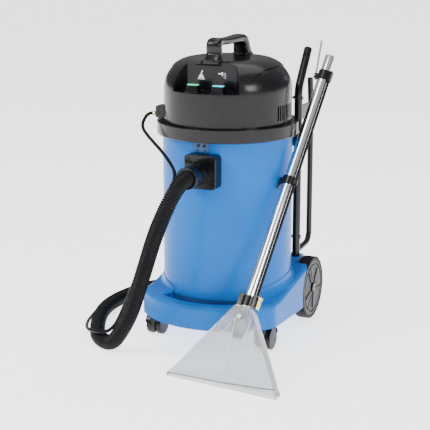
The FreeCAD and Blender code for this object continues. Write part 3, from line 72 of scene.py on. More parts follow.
@dataclass(frozen=True)
class Finish:
    """One finish of the machine, with its patchy shade, its fine grain, its gloss and its soft edges."""

    name: str
    colour: tuple[float, float, float]
    shade: float = 0.06
    patch: float = 9.0
    roughness: float = 0.35
    spread: float = 0.06
    grain: float = 700.0
    relief: float = 0.08
    metallic: float = 0.0
    specular: float = 0.5
    coat: float = 0.0
    transmission: float = 0.0
    ior: float = 1.5
    glow: float = 0.0
    edge: float = 0.0012

    def material(self) -> bpy.types.Material:
        """Builds the finish's node material, once.

        Returns:
            The material, the same one on every call.
        """
        known = bpy.data.materials.get(self.name)
        if known:
            return known
        mat = bpy.data.materials.new(self.name)
        mat.use_nodes = True
        tree = mat.node_tree
        shader = tree.nodes["Principled BSDF"]
        place = self._node(tree, "ShaderNodeTexCoord")
        self._shade(tree, place.outputs["Object"], shader)
        self._grain(tree, place.outputs["Object"], shader)
        shader.inputs["Metallic"].default_value = self.metallic
        shader.inputs["Specular IOR Level"].default_value = self.specular
        shader.inputs["Coat Weight"].default_value = self.coat
        shader.inputs["Coat Roughness"].default_value = 0.06
        shader.inputs["Transmission Weight"].default_value = self.transmission
        shader.inputs["IOR"].default_value = self.ior
        if self.glow:
            shader.inputs["Emission Color"].default_value = (*self.colour, 1.0)
            shader.inputs["Emission Strength"].default_value = self.glow
        mat.diffuse_color = (*self.colour, 1.0)
        return mat

    @staticmethod
    def _node(tree: bpy.types.NodeTree, kind: str) -> bpy.types.Node:
        """Adds one shader node."""
        return tree.nodes.new(kind)

    def _shade(self, tree: bpy.types.NodeTree, vector: bpy.types.NodeSocket,
               shader: bpy.types.Node) -> None:
        """Slow patches of slightly lighter and darker colour.

        Args:
            tree: the material's node tree.
            vector: the place on the surface.
            shader: the node that takes the colour.
        """
        noise = self._node(tree, "ShaderNodeTexNoise")
        noise.inputs["Scale"].default_value = self.patch
        noise.inputs["Detail"].default_value = 4.0
        ramp = self._node(tree, "ShaderNodeValToRGB")
        low, high = ramp.color_ramp.elements
        low.position, high.position = 0.32, 0.7
        low.color = (*[c * (1 - self.shade) for c in self.colour], 1.0)
        high.color = (*[min(1.0, c * (1 + self.shade)) for c in self.colour], 1.0)
        tree.links.new(vector, noise.inputs["Vector"])
        tree.links.new(noise.outputs["Fac"], ramp.inputs["Fac"])
        tree.links.new(ramp.outputs["Color"], shader.inputs["Base Color"])

    def _grain(self, tree: bpy.types.NodeTree, vector: bpy.types.NodeSocket,
               shader: bpy.types.Node) -> None:
        """Fine relief and soft edges of the surface, and the gloss that wanders over it.

        Args:
            tree: the material's node tree.
            vector: the place on the surface.
            shader: the node that takes the roughness and the normal.
        """
        fine = self._node(tree, "ShaderNodeTexNoise")
        fine.inputs["Scale"].default_value = self.grain
        fine.inputs["Detail"].default_value = 2.0
        wear = self._node(tree, "ShaderNodeTexNoise")
        wear.inputs["Scale"].default_value = self.patch * 3
        wear.inputs["Detail"].default_value = 5.0
        spread = self._node(tree, "ShaderNodeMapRange")
        spread.inputs["From Min"].default_value = 0.3
        spread.inputs["From Max"].default_value = 0.7
        spread.inputs["To Min"].default_value = max(0.02, self.roughness - self.spread)
        spread.inputs["To Max"].default_value = min(1.0, self.roughness + self.spread)
        bump = self._node(tree, "ShaderNodeBump")
        bump.inputs["Strength"].default_value = self.relief
        bump.inputs["Distance"].default_value = 0.0004
        tree.links.new(vector, fine.inputs["Vector"])
        tree.links.new(vector, wear.inputs["Vector"])
        tree.links.new(wear.outputs["Fac"], spread.inputs["Value"])
        tree.links.new(spread.outputs["Result"], shader.inputs["Roughness"])
        tree.links.new(fine.outputs["Fac"], bump.inputs["Height"])
        if self.edge:
            soft = self._node(tree, "ShaderNodeBevel")
            soft.inputs["Radius"].default_value = self.edge
            tree.links.new(soft.outputs["Normal"], bump.inputs["Normal"])
        tree.links.new(bump.outputs["Normal"], shader.inputs["Normal"])


class Paint:
    """Every finish of the machine, by the record's slot name or by its own."""

    BLUE = Finish("blue_moulding", (0.003, 0.140, 0.50), shade=0.06, patch=5, roughness=0.32, relief=0.1,
                  specular=0.12)
    # Painted shade: a darker copy of the blue moulding for the shadowed inner wall of the hand slot.
    SLOT_SHADE_BLUE = Finish("painted_slot_shade_blue", (0.002, 0.035, 0.14), shade=0.1, patch=12, roughness=0.5,
                       specular=0.1)
    LIGHT_BLUE = Finish("light_blue_moulding", (0.008, 0.07, 0.24), shade=0.05, patch=20, roughness=0.35)
    BLACK = Finish("black_moulding", (0.004, 0.004, 0.005), shade=0.2, roughness=0.24, relief=0.05,
                   specular=0.3, coat=0.04)
    BLACK_STEEL = Finish("black_powder_coat", (0.004, 0.004, 0.004), shade=0.2, roughness=0.2, grain=1500,
                         relief=0.12, specular=0.3, coat=0.05)
    STEEL = Finish("zinc_plate", (0.55, 0.56, 0.58), shade=0.1, patch=60, roughness=0.3, metallic=1.0)
    CHROME = Finish("polished_chrome", (0.86, 0.87, 0.88), shade=0.03, patch=14, roughness=0.07, spread=0.03,
                    relief=0.012, metallic=1.0)
    BRASS = Finish("turned_brass", (0.72, 0.56, 0.20), shade=0.1, patch=80, roughness=0.22, metallic=1.0)
    HOSE = Finish("hose_vinyl", (0.006, 0.006, 0.007), shade=0.2, patch=14, roughness=0.4, spread=0.08,
                  specular=0.1)
    RUBBER = Finish("soft_rubber", (0.02, 0.02, 0.02), shade=0.25, roughness=0.6)
    TYRE = Finish("tyre_rubber", (0.006, 0.006, 0.007), shade=0.3, patch=25, roughness=0.55, spread=0.12,
                  relief=0.25, specular=0.15)
    GREY = Finish("grey_moulding", (0.022, 0.022, 0.024), shade=0.12, patch=12, roughness=0.38, specular=0.15)
    CLEAR = Finish("clear_moulding", (0.66, 0.67, 0.68), shade=0.03, patch=12, roughness=0.1, spread=0.04,
                   relief=0.02, transmission=0.88, ior=1.3, edge=0.0)
    # Painted shade: a darker, less clear copy of the clear moulding for the nozzle's thick front lip.
    CLEAR_LIP_SHADE = Finish("clear_moulding_painted_lip_shade", (0.34, 0.35, 0.36), shade=0.05, patch=60, roughness=0.2,
                        transmission=0.55, ior=1.35, edge=0.0)
    # Painted highlight: a whiter, nearly opaque copy of the clear moulding for the nozzle's ribs and creases.
    CLEAR_RIB_HIGHLIGHT = Finish("clear_moulding_painted_rib_highlight", (0.93, 0.94, 0.95), shade=0.03, patch=60, roughness=0.16,
                       transmission=0.1, ior=1.35, edge=0.0)
    NATURAL = Finish("natural_moulding", (0.75, 0.75, 0.70), shade=0.05, roughness=0.45)
    INNER = Finish("inner_moulding", (0.05, 0.05, 0.055), shade=0.15, roughness=0.45)
    GREEN_LENS = Finish("green_lens", (0.02, 0.55, 0.22), shade=0.1, patch=150, roughness=0.12, glow=1.3)
    CYAN_LENS = Finish("cyan_lens", (0.02, 0.55, 0.72), shade=0.1, patch=150, roughness=0.12, glow=1.3)
    FLOOR = Finish("pale_floor", (0.92, 0.92, 0.92), shade=0.01, patch=1.5, roughness=0.7, specular=0.1,
                   glow=2.2, edge=0.0)
    WHITE_PRINT = Finish("white_print", (0.85, 0.85, 0.85), shade=0.03, patch=90, roughness=0.4)

    BY_SLOT = {
        "blue_plastic": BLUE, "light_blue_plastic": LIGHT_BLUE, "black_plastic": BLACK,
        "black_steel": BLACK_STEEL, "steel": STEEL, "chrome": CHROME, "brass": BRASS,
        "hose_plastic": HOSE, "rubber": RUBBER, "tyre": TYRE, "grey_plastic": GREY,
        "clear_plastic": CLEAR, "natural_plastic": NATURAL, "inner_plastic": INNER,
    }

    BY_NODE = {"plate_screws": BLACK_STEEL}

    @classmethod
    def dress_frame(cls) -> int:
        """Gives every CAD node the finish of its slot.

        Returns:
            The number of nodes dressed.
        """
        for part in frame["record"]["subparts"]:
            node = frame["nodes"][part["node"]]
            finish = cls.BY_NODE.get(part["node"], cls.BY_SLOT[part["material_slot"]])
            if not node.material_slots:
                node.data.materials.append(finish.material())
            for place in node.material_slots:
                place.material = finish.material()
        return len(frame["record"]["subparts"])


# ---- making meshes ----

class Shape:
    """Small tools that turn points and trees into finished mesh pieces."""

    @staticmethod
    def piece(name: str, mesh: bpy.types.Mesh, finish: Finish, slot: str, body: Body,
              smooth: bool = True) -> bpy.types.Object:
        """Puts a mesh in the scene, dressed, riding on its body.

        Args:
            name: the piece's name.
            mesh: its mesh, in the machine's frame.
            finish: what it is made of.
            slot: the record's material slot that it belongs to; not used.
            body: the body it moves with.
            smooth: whether its faces are shaded smoothly.

        Returns:
            The new object.
        """
        obj = bpy.data.objects.new(name, mesh)
        bpy.context.scene.collection.objects.link(obj)
        mesh.materials.clear()
        mesh.materials.append(finish.material())
        mesh.polygons.foreach_set("use_smooth", [smooth] * len(mesh.polygons))
        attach(obj, body.value)
        return obj

    @staticmethod
    def plain(obj: bpy.types.Object, name: str) -> bpy.types.Mesh:
        """The evaluated mesh of an object, which is then removed.

        Args:
            obj: an object with modifiers.
            name: the new mesh's name.

        Returns:
            A plain mesh with everything applied.
        """
        bpy.context.view_layer.update()
        seen = obj.evaluated_get(bpy.context.evaluated_depsgraph_get())
        mesh = bpy.data.meshes.new_from_object(seen)
        mesh.name = name
        bpy.data.objects.remove(obj)
        return mesh

    @staticmethod
    def from_faces(name: str, points: Iterable[Point], faces: Iterable[Sequence[int]]) -> bpy.types.Mesh:
        """A mesh from corners and faces, its faces turned outwards.

        Args:
            name: the mesh's name.
            points: its corners.
            faces: corner numbers of each face.

        Returns:
            The mesh.
        """
        mesh = bpy.data.meshes.new(name)
        mesh.from_pydata([tuple(p) for p in points], [], [tuple(f) for f in faces])
        work = bmesh.new()
        work.from_mesh(mesh)
        bmesh.ops.remove_doubles(work, verts=work.verts, dist=1e-6)
        bmesh.ops.recalc_face_normals(work, faces=work.faces)
        work.to_mesh(mesh)
        work.free()
        return mesh

    @staticmethod
    def loft(name: str, rings: Sequence[Sequence[Point]]) -> bpy.types.Mesh:
        """A closed skin over rings that have the same number of corners.

        Args:
            name: the mesh's name.
            rings: the rings, from one end to the other.

        Returns:
            The mesh, with both ends closed.
        """
        count = len(rings[0])
        points = [p for ring in rings for p in ring]
        faces: list[Sequence[int]] = []
        for k in range(len(rings) - 1):
            for i in range(count):
                j = (i + 1) % count
                faces.append((k * count + i, k * count + j, (k + 1) * count + j, (k + 1) * count + i))
        faces.append(list(range(count)))
        faces.append(list(range(len(points) - count, len(points))))
        return Shape.from_faces(name, points, faces)

    @staticmethod
    def tube(name: str, line: Sequence[Vector], radius: float, sides: int = 10) -> bpy.types.Mesh:
        """A round bar along a line of points.

        Args:
            name: the mesh's name.
            line: the points, in metres.
            radius: the bar's radius.
            sides: corners of its section.

        Returns:
            The mesh.
        """
        rings = []
        for k, point in enumerate(line):
            way = (line[min(k + 1, len(line) - 1)] - line[max(k - 1, 0)]).normalized()
            side = way.cross(Vector((0.3, 0.1, 1.0))).normalized()
            up = side.cross(way)
            rings.append([point + radius * (math.cos(a) * side + math.sin(a) * up)
                          for a in (2 * math.pi * i / sides for i in range(sides))])
        return Shape.loft(name, rings)

    @staticmethod
    def slab(name: str, outline: Sequence[tuple[float, float]], back: float, front: float) -> bpy.types.Mesh:
        """A flat slab, upright and facing the front.

        Args:
            name: the mesh's name.
            outline: its corners as across and up, in millimetres.
            back: how far back it starts, along Y.
            front: where its face is, along Y.

        Returns:
            The mesh.
        """
        rings = [[Vector((x, y, z)) * MM for x, z in outline] for y in (back, front)]
        return Shape.loft(name, rings)

    @staticmethod
    def pillow(name: str, centre: Point, half: Point, power: float = SQUARISH) -> bpy.types.Mesh:
        """A block with soft corners and a slightly domed top.

        Args:
            name: the mesh's name.
            centre: its middle, in millimetres.
            half: half its sizes, in millimetres.
            power: how square its outline is.

        Returns:
            The mesh.
        """
        rings = []
        for level, scale in ((-1.0, 1.0), (0.45, 1.0), (0.8, 0.96), (0.95, 0.88), (1.0, 0.7)):
            rings.append([Vector((centre[0] + x, centre[1] + y, centre[2] + level * half[2])) * MM
                          for x, y in Shape.oval(half[0] * scale, half[1] * scale, power)])
        return Shape.loft(name, rings)

    @staticmethod
    def oval(half_w: float, half_d: float, power: float, sides: int = 32) -> list[tuple[float, float]]:
        """Corners of an oval that squares up as its power grows.

        Args:
            half_w: half its width.
            half_d: half its depth.
            power: two for an ellipse, more for a rounded rectangle.
            sides: the number of corners.

        Returns:
            The corners, in order.
        """
        corners = []
        for k in range(sides):
            a = 2 * math.pi * (k + 0.5) / sides
            c, s = math.cos(a), math.sin(a)
            corners.append((half_w * math.copysign(abs(c) ** (2 / power), c),
                            half_d * math.copysign(abs(s) ** (2 / power), s)))
        return corners

    @staticmethod
    def smooth_rows(rows: Sequence[Sequence[float]], steps: int) -> list[list[float]]:
        """Rows of numbers with smooth in-between rows added.

        Args:
            rows: the given rows.
            steps: new rows per gap.

        Returns:
            All rows, the given ones among them.
        """
        result = []
        for k in range(len(rows) - 1):
            a, b, c, d = (rows[max(k - 1, 0)], rows[k], rows[k + 1], rows[min(k + 2, len(rows) - 1)])
            for i in range(steps):
                t = i / steps
                result.append([0.5 * (2 * q + (r - p) * t + (2 * p - 5 * q + 4 * r - e) * t * t
                                      + (3 * q - p - 3 * r + e) * t ** 3) for p, q, r, e in zip(a, b, c, d)])
        result.append(list(rows[-1]))
        return result


# ---- free hoses ----

@dataclass
class Route:
    """The centre line of a free hose, in millimetres, from the machine outwards."""

    name: str
    points: list[tuple[float, float, float]]
    steps: int = 24

    def metres(self) -> list[Vector]:
        """The route's points in metres."""
        return [Vector(p) * MM for p in self.points]

    def curve(self, radius: float = 0.0) -> bpy.types.Object:
        """A smooth curve with the route's points as its control points.

        Args:
            radius: the hose's radius, or none for a bare line.

        Returns:
            The curve's object, linked to the scene.
        """
        data = bpy.data.curves.new(self.name, "CURVE")
        data.dimensions = "3D"
        line = data.splines.new("NURBS")
        line.points.add(len(self.points) - 1)
        for control, point in zip(line.points, self.metres()):
            control.co = (*point, 1.0)
        line.order_u = 3
        line.use_endpoint_u = True
        data.resolution_u = self.steps
        data.bevel_depth = radius
        data.bevel_resolution = 5
        data.use_fill_caps = radius > 0
        obj = bpy.data.objects.new(self.name, data)
        bpy.context.scene.collection.objects.link(obj)
        return obj

    def line(self) -> list[Vector]:
        """Points read from the smooth curve, in order."""
        mesh = Shape.plain(self.curve(), self.name + "_line")
        points = [v.co.copy() for v in mesh.vertices]
        bpy.data.meshes.remove(mesh)
        return points

    def length(self) -> float:
        """The smooth curve's length in metres."""
        points = self.line()
        return sum((b - a).length for a, b in zip(points, points[1:]))


@dataclass
class RibbedHose:
    """The corrugated suction hose, from the inlet cuff to its far cuff."""

    route: Route
    radius: float = 23.0 * MM
    pitch: float = 7.0 * MM
    depth: float = 2.4 * MM
    rings: int = 6
    sides: int = 28

    def build(self) -> bpy.types.Object:
        """Returns:
            The hose's object.
        """
        line = self.route.line()
        mesh = bpy.data.meshes.new("suction_hose_line")
        mesh.from_pydata([tuple(p) for p in line], [(i, i + 1) for i in range(len(line) - 1)], [])
        obj = bpy.data.objects.new("suction_hose_line", mesh)
        bpy.context.scene.collection.objects.link(obj)
        ribs = Tree("hose_ribs", {"Radius": self.radius, "Rib Pitch": self.pitch, "Rib Depth": self.depth})
        self._grow(ribs)
        ribs.give(obj)
        hose = Shape.piece("ribbed_suction_hose", Shape.plain(obj, "ribbed_suction_hose"), Paint.HOSE,
                           "hose_plastic", Body.CHASSIS)
        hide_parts("suction_hose")
        self.route.length()
        return hose

    def _grow(self, tree: "Tree") -> None:
        """Adds the nodes that turn the line into a tube whose radius swells at each rib.

        Args:
            tree: the geometry tree to fill.
        """
        curve = tree.add("GeometryNodeMeshToCurve", Mesh=tree.geometry)
        curve = tree.add("GeometryNodeResampleCurve", Curve=curve)
        curve.node.mode = "LENGTH"
        step = tree.math("DIVIDE", tree.value("Rib Pitch"), float(self.rings))
        tree.join(step, curve.node.inputs["Length"])
        along = tree.add("GeometryNodeSplineParameter", output="Length")
        turns = tree.math("DIVIDE", along, tree.value("Rib Pitch"))
        wave = tree.math("SINE", tree.math("MULTIPLY", turns, 2 * math.pi))
        crest = tree.math("SMOOTH_MIN", tree.math("MULTIPLY", wave, 1.4), 1.0)
        crest.node.inputs[2].default_value = 0.4
        half = tree.math("MULTIPLY", tree.value("Rib Depth"), 0.5)
        low = tree.math("SUBTRACT", tree.value("Radius"), half)
        swell = tree.math("ADD", low, tree.math("MULTIPLY", crest, half))
        ring = tree.add("GeometryNodeCurvePrimitiveCircle")
        ring.node.inputs["Resolution"].default_value = self.sides
        ring.node.inputs["Radius"].default_value = 1.0
        tube = tree.sweep(curve, ring, swell)
        tree.finish(tube, Paint.HOSE)


@dataclass
class ThinHose:
    """The solution hose, from the outlet's nipple to its brass connector."""

    route: Route
    radius: float = 5.0 * MM

    def build(self) -> bpy.types.Object:
        """Returns:
            The hose's object.
        """
        hose = self.route.curve(self.radius)
        hose.name = "thin_solution_hose"
        hose.data.materials.append(Paint.HOSE.material())
        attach(hose, Body.CHASSIS.value)
        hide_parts("solution_hose")
        self.route.metres()[0]
        self.route.length()
        return hose


class Tree:
    """A geometry tree under construction, with named inputs."""

    def __init__(self, name: str, sizes: dict[str, float]) -> None:
        """Starts a tree.

        Args:
            name: the tree's name.
            sizes: its inputs and what they are set to.
        """
        self.group = bpy.data.node_groups.new(name, "GeometryNodeTree")
        self.sizes = sizes
        self.group.interface.new_socket("Geometry", in_out="INPUT", socket_type="NodeSocketGeometry")
        for label in sizes:
            self.group.interface.new_socket(label, in_out="INPUT", socket_type="NodeSocketFloat")
        self.group.interface.new_socket("Geometry", in_out="OUTPUT", socket_type="NodeSocketGeometry")
        self.way_in = self.group.nodes.new("NodeGroupInput")
        self.way_out = self.group.nodes.new("NodeGroupOutput")
        self.geometry = self.way_in.outputs["Geometry"]

    def value(self, label: str) -> bpy.types.NodeSocket:
        """The socket of a named input."""
        return self.way_in.outputs[label]

    def join(self, source: bpy.types.NodeSocket, target: bpy.types.NodeSocket) -> None:
        """Links two sockets."""
        self.group.links.new(source, target)

    def add(self, kind: str, output: Optional[str] = None, **inputs: object) -> bpy.types.NodeSocket:
        """Adds a node.

        Args:
            kind: the node's type.
            output: the name of the output to give back, the first one if not given.
            inputs: sockets or values for its inputs, by name with spaces as underscores.

        Returns:
            The node's output socket.
        """
        node = self.group.nodes.new(kind)
        for label, given in inputs.items():
            target = node.inputs[label.replace("_", " ")]
            if isinstance(given, bpy.types.NodeSocket):
                self.join(given, target)
            else:
                target.default_value = given
        return node.outputs[output] if output else node.outputs[0]

    def math(self, operation: str, first: object, second: object = None) -> bpy.types.NodeSocket:
        """Adds a sum.

        Args:
            operation: the kind of sum.
            first: its first term, a socket or a number.
            second: its second term, if it has one.

        Returns:
            The result's socket.
        """
        node = self.group.nodes.new("ShaderNodeMath")
        node.operation = operation
        for target, given in zip(node.inputs, (first, second)):
            if isinstance(given, bpy.types.NodeSocket):
                self.join(given, target)
            elif given is not None:
                target.default_value = given
        return node.outputs[0]

    def sweep(self, curve: bpy.types.NodeSocket, profile: bpy.types.NodeSocket,
              radius: bpy.types.NodeSocket) -> bpy.types.NodeSocket:
        """A tube along a curve, with a radius that changes on the way.

        Args:
            curve: the centre line.
            profile: the section, of radius one.
            radius: the field that scales the section.

        Returns:
            The tube's socket.
        """
        sized = self.add("GeometryNodeSetCurveRadius", Curve=curve, Radius=radius)
        tube = self.add("GeometryNodeCurveToMesh", Curve=sized, Profile_Curve=profile, Fill_Caps=True)
        if "Scale" in tube.node.inputs:
            self.join(radius, tube.node.inputs["Scale"])
        return tube

    def finish(self, result: bpy.types.NodeSocket, finish: Finish) -> None:
        """Makes instances real, sets the material and ends the tree.

        Args:
            result: the geometry to give back.
            finish: its finish.
        """
        real = self.add("GeometryNodeRealizeInstances", Geometry=result)
        dressed = self.add("GeometryNodeSetMaterial", Geometry=real, Material=finish.material())
        self.join(dressed, self.way_out.inputs["Geometry"])

    def give(self, obj: bpy.types.Object) -> None:
        """Puts the tree on an object as a modifier, with its sizes set.

        Args:
            obj: the object that the tree works on.
        """
        modifier = obj.modifiers.new(self.group.name, "NODES")
        modifier.node_group = self.group
        for item in self.group.interface.items_tree:
            if item.in_out == "INPUT" and item.name in self.sizes:
                modifier[item.identifier] = self.sizes[item.name]


# ---- repeated small shapes ----

@dataclass
class Ring:
    """Copies of one small shape round a circle, made by a geometry tree."""

    name: str
    count: int
    radius: float
    half: tuple[float, float, float]

    def mesh(self, finish: Finish, centre: Point, turn: Matrix) -> bpy.types.Mesh:
        """Builds the ring.

        Args:
            finish: what it is made of.
            centre: the circle's centre, in millimetres.
            turn: the turn that takes the upright axis to the ring's own.

        Returns:
            The ring as one plain mesh in the machine's frame.
        """
        block = Shape.pillow(self.name + "_one", (0, 0, 0), self.half)
        obj = bpy.data.objects.new(self.name, block)
        bpy.context.scene.collection.objects.link(obj)
        tree = Tree(self.name + "_tree", {"Copies": float(self.count), "Circle Radius": self.radius * MM})
        circle = tree.add("GeometryNodeMeshCircle", Vertices=tree.value("Copies"),
                          Radius=tree.value("Circle Radius"))
        step = tree.math("DIVIDE", 2 * math.pi, tree.value("Copies"))
        angle = tree.math("MULTIPLY", tree.add("GeometryNodeInputIndex"), step)
        facing = tree.add("ShaderNodeCombineXYZ", Z=angle)
        copies = tree.add("GeometryNodeInstanceOnPoints", Points=circle, Instance=tree.geometry,
                          Rotation=facing)
        tree.finish(copies, finish)
        tree.give(obj)
        mesh = Shape.plain(obj, self.name)
        mesh.transform(Matrix.Translation(Vector(centre) * MM) @ turn.to_4x4())
        return mesh


# ---- the machine's own pieces ----

@dataclass
class CarryHandle:
    """The arched grip: slim front leg, level bar and a thick rear leg, on two collars.

    Each row gives the grip's middle along Y and Z, half its thickness and half its width. Each foot gives a
    name, a middle and half sizes. All are in millimetres.
    """

    rows: list[tuple[float, float, float, float]] = field(default_factory=lambda: [
        (-114, 820, 20, 27), (-107, 838, 15, 25), (-102, 850, 12, 23.5), (-101, 862, 11.5, 23),
        (-103, 874, 13, 22.5), (-100, 884, 13.5, 21.5), (-88, 887, 12, 20.5), (-70, 886, 10.5, 19.5),
        (-35, 884, 10, 19), (0, 883, 10, 19), (40, 883, 10.5, 19.5), (72, 882.5, 12, 20.5),
        (92, 878, 15.5, 22), (103, 866, 18, 23), (108, 851, 19, 24.5), (114, 836, 21, 26),
        (120, 818, 24, 29),
    ])
    power: float = 3.4
    steps: int = 5
    feet: tuple[tuple[str, Point, Point], ...] = (
        ("front_handle_collar", (0, -114, 832), (27, 20, 7)),
        ("rear_handle_collar", (0, 116, 831), (27, 25, 7)),
        ("handle_tab", (-36, -122, 830), (9, 10, 6)),
    )

    def build(self) -> list[bpy.types.Object]:
        """Makes the grip, its two collars and its tab.

        Returns:
            The new pieces.
        """
        rows = Shape.smooth_rows(self.rows, self.steps)
        rings = []
        for k, (y, z, thick, wide) in enumerate(rows):
            ahead, behind = rows[min(k + 1, len(rows) - 1)], rows[max(k - 1, 0)]
            way = Vector((0, ahead[0] - behind[0], ahead[1] - behind[1])).normalized()
            out = Vector((0, -way.z, way.y))
            section = Shape.oval(wide, thick, self.power)
            rings.append([(Vector((x, y, z)) + out * t) * MM for x, t in section])
        skin = Shape.loft("carry_grip", rings)
        grip = Shape.piece("carry_grip", skin, Paint.BLACK, "black_plastic", Body.HEAD)
        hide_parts("carry_handle")
        pieces = [grip]
        for name, centre, half in self.feet:
            foot = Shape.pillow(name, centre, half)
            pieces.append(Shape.piece(name, foot, Paint.BLACK, "black_plastic", Body.HEAD))
        return pieces


@dataclass
class SwitchLens:
    """The lit lens on a switch's paddle."""

    name: str
    x: float
    body: Body
    finish: Finish
    y: float = -163.5
    z: float = 771.6
    half: tuple[float, float, float] = (16.4, 8.8, 1.6)

    def build(self) -> list[bpy.types.Object]:
        """Makes the lens."""
        lens = Shape.pillow(self.name, (self.x, self.y, self.z), self.half)
        return [Shape.piece(self.name, lens, self.finish, "black_plastic", self.body)]


@dataclass
class Pictograms:
    """Two small printed signs on the recess's back wall: a nozzle and falling drops."""

    wall: float = -119.0
    print_depth: float = 0.35
    sunk: float = 0.1
    drops: int = 6
    drop_r: float = 1.3
    drop_first: tuple[float, float] = (38.0, 802.0)
    drop_step: tuple[float, float] = (4.5, 6.0)
    drop_stagger: float = 1.5

    def build(self) -> list[bpy.types.Object]:
        """Prints both signs.

        Returns:
            The new pieces.
        """
        pieces = []
        signs = {
            "nozzle_sign_cone": [(-43, 786), (-23, 786), (-30, 797), (-36, 797)],
            "nozzle_sign_tube": [(-35, 798.5), (-31, 798.5), (-27.5, 808), (-31, 808)],
            "nozzle_sign_foot": [(-44, 782), (-22, 782), (-22, 784.4), (-44, 784.4)],
            "drop_sign_tube": [(20, 799), (30, 799), (30, 802), (20, 802)],
            "drop_sign_head": [(30, 794), (34, 797), (34, 804), (30, 806)],
        }
        drop = Shape.oval(self.drop_r, 1.4 * self.drop_r, 2, 10)
        for k in range(self.drops):
            row, column = divmod(k, 2)
            across = self.drop_first[0] + self.drop_step[0] * column
            up = self.drop_first[1] - self.drop_step[1] * row - self.drop_stagger * column
            signs[f"drop_sign_{k}"] = [(across + x, up + z) for x, z in drop]
        for name, outline in signs.items():
            mesh = Shape.slab(name, outline, self.wall + self.sunk, self.wall - self.print_depth)
            sign = Shape.piece(name, mesh, Paint.WHITE_PRINT, "black_plastic", Body.HEAD, smooth=False)
            pieces.append(sign)
        return pieces


@dataclass
class NozzleDetails:
    """Ribs, creases, the thick lip and the inner socket that show in the clear nozzle; the ribs and creases
    are painted whiter as highlight and the lip darker as shade.

    The nozzle's neck is at foot, its wand runs along up, and face points out of its front wall.
    """

    foot: Vector = field(default_factory=lambda: Vector((181, -299, 174)))
    up: Vector = field(default_factory=lambda: Vector((0.0841, 0.6023, 0.7938)))
    face: Vector = field(default_factory=lambda: Vector((-0.11, -0.77, 0.63)))
    rib_r: float = 1.3
    lip_r: float = 1.6
    proud: float = 0.3
    socket: tuple[tuple[float, float], ...] = ((-34, 18.0), (-84, 17.0), (-84, 14.5), (-34, 15.0))
    sides: int = 40

    def build(self) -> list[bpy.types.Object]:
        """Makes the ribs, the lip and the socket.

        Returns:
            The new pieces.
        """
        ribs = {
            "nozzle_rib_left": [(165, -338, 160), (168, -366, 127), (171, -391, 97), (174, -428, 53)],
            "nozzle_rib_right": [(214, -342, 162), (211, -367, 133), (203, -397, 95), (190, -415, 71),
                                 (174, -428, 53)],
            "nozzle_rib_middle": [(174, -428, 53), (173, -448, 28)],
            "nozzle_crease_left": [(102, -391, 85), (176, -389, 100)],
            "nozzle_crease_right": [(208, -395, 98), (262, -409, 90)],
            "nozzle_fold_left": [(102, -391, 85), (158, -347, 148)],
        }
        lip = [(5, -441, 10), (76, -449, 12), (170, -460, 14), (261, -469, 18), (334, -474, 22)]
        # The ribs and creases are painted whiter as highlight.
        pieces = [self._bar(name, points, self.rib_r, Paint.CLEAR_RIB_HIGHLIGHT) for name, points in ribs.items()]
        # The lip is painted darker as shade.
        pieces.append(self._bar("nozzle_front_lip", lip, self.lip_r, Paint.CLEAR_LIP_SHADE))
        pieces.append(self._socket())
        return pieces

    def _bar(self, name: str, points: Sequence[Point], radius: float, finish: Finish) -> bpy.types.Object:
        """A round bar half sunk in the nozzle's front wall.

        Args:
            name: the bar's name.
            points: its course on the wall, in millimetres.
            radius: its radius.
            finish: what it is made of.

        Returns:
            The bar.
        """
        line = [(Vector(p) + self.face * self.proud) * MM for p in points]
        mesh = Shape.tube(name, line, radius * MM)
        return Shape.piece(name, mesh, finish, "clear_plastic", Body.WAND)

    def _socket(self) -> bpy.types.Object:
        """The open tube inside the nozzle that carries on from the wand.

        Returns:
            The socket.
        """
        side = self.up.cross(Vector((0, 0, 1))).normalized()
        front = side.cross(self.up)
        turns = [2 * math.pi * i / self.sides for i in range(self.sides)]
        points = []
        for along, radius in self.socket:
            middle = self.foot + self.up * along
            points += [(middle + radius * (math.cos(a) * side + math.sin(a) * front)) * MM for a in turns]
        faces = []
        for k in range(len(self.socket)):
            near, far = k * self.sides, (k + 1) % len(self.socket) * self.sides
            for i in range(self.sides):
                j = (i + 1) % self.sides
                faces.append((near + i, near + j, far + j, far + i))
        mesh = Shape.from_faces("nozzle_socket", points, faces)
        return Shape.piece("nozzle_socket", mesh, Paint.CLEAR, "clear_plastic", Body.WAND)


@dataclass
class WheelDetails:
    """Tread bars round both rear tyres and ribs on their hubs."""

    radius: float = 97.7
    y: float = 199.0
    x: float = 192.0
    bars: int = 54
    bar_half: tuple[float, float, float] = (0.9, 1.8, 17.0)
    bar_sunk: float = 0.6
    spokes: int = 5
    spoke_half: tuple[float, float, float] = (20.0, 4.5, 1.5)
    spoke_at: float = 46.0
    hub_out: float = 18.0

    def build(self) -> list[bpy.types.Object]:
        """Makes the tread and the spokes of both wheels.

        Returns:
            The new pieces.
        """
        pieces = []
        turn = Matrix.Rotation(math.radians(90), 3, "Y")
        for side, body in ((-1, Body.LEFT_WHEEL), (1, Body.RIGHT_WHEEL)):
            label = "left" if side < 0 else "right"
            centre = (side * self.x, self.y, self.radius)
            tread = Ring(label + "_tread", self.bars, self.radius - self.bar_sunk, self.bar_half)
            mesh = tread.mesh(Paint.TYRE, centre, turn)
            pieces.append(Shape.piece(tread.name, mesh, Paint.TYRE, "tyre", body))
            hub = Ring(label + "_hub_ribs", self.spokes, self.spoke_at, self.spoke_half)
            mesh = hub.mesh(Paint.GREY, (side * (self.x + self.hub_out), self.y, self.radius), turn)
            pieces.append(Shape.piece(hub.name, mesh, Paint.GREY, "grey_plastic", body))
        return pieces


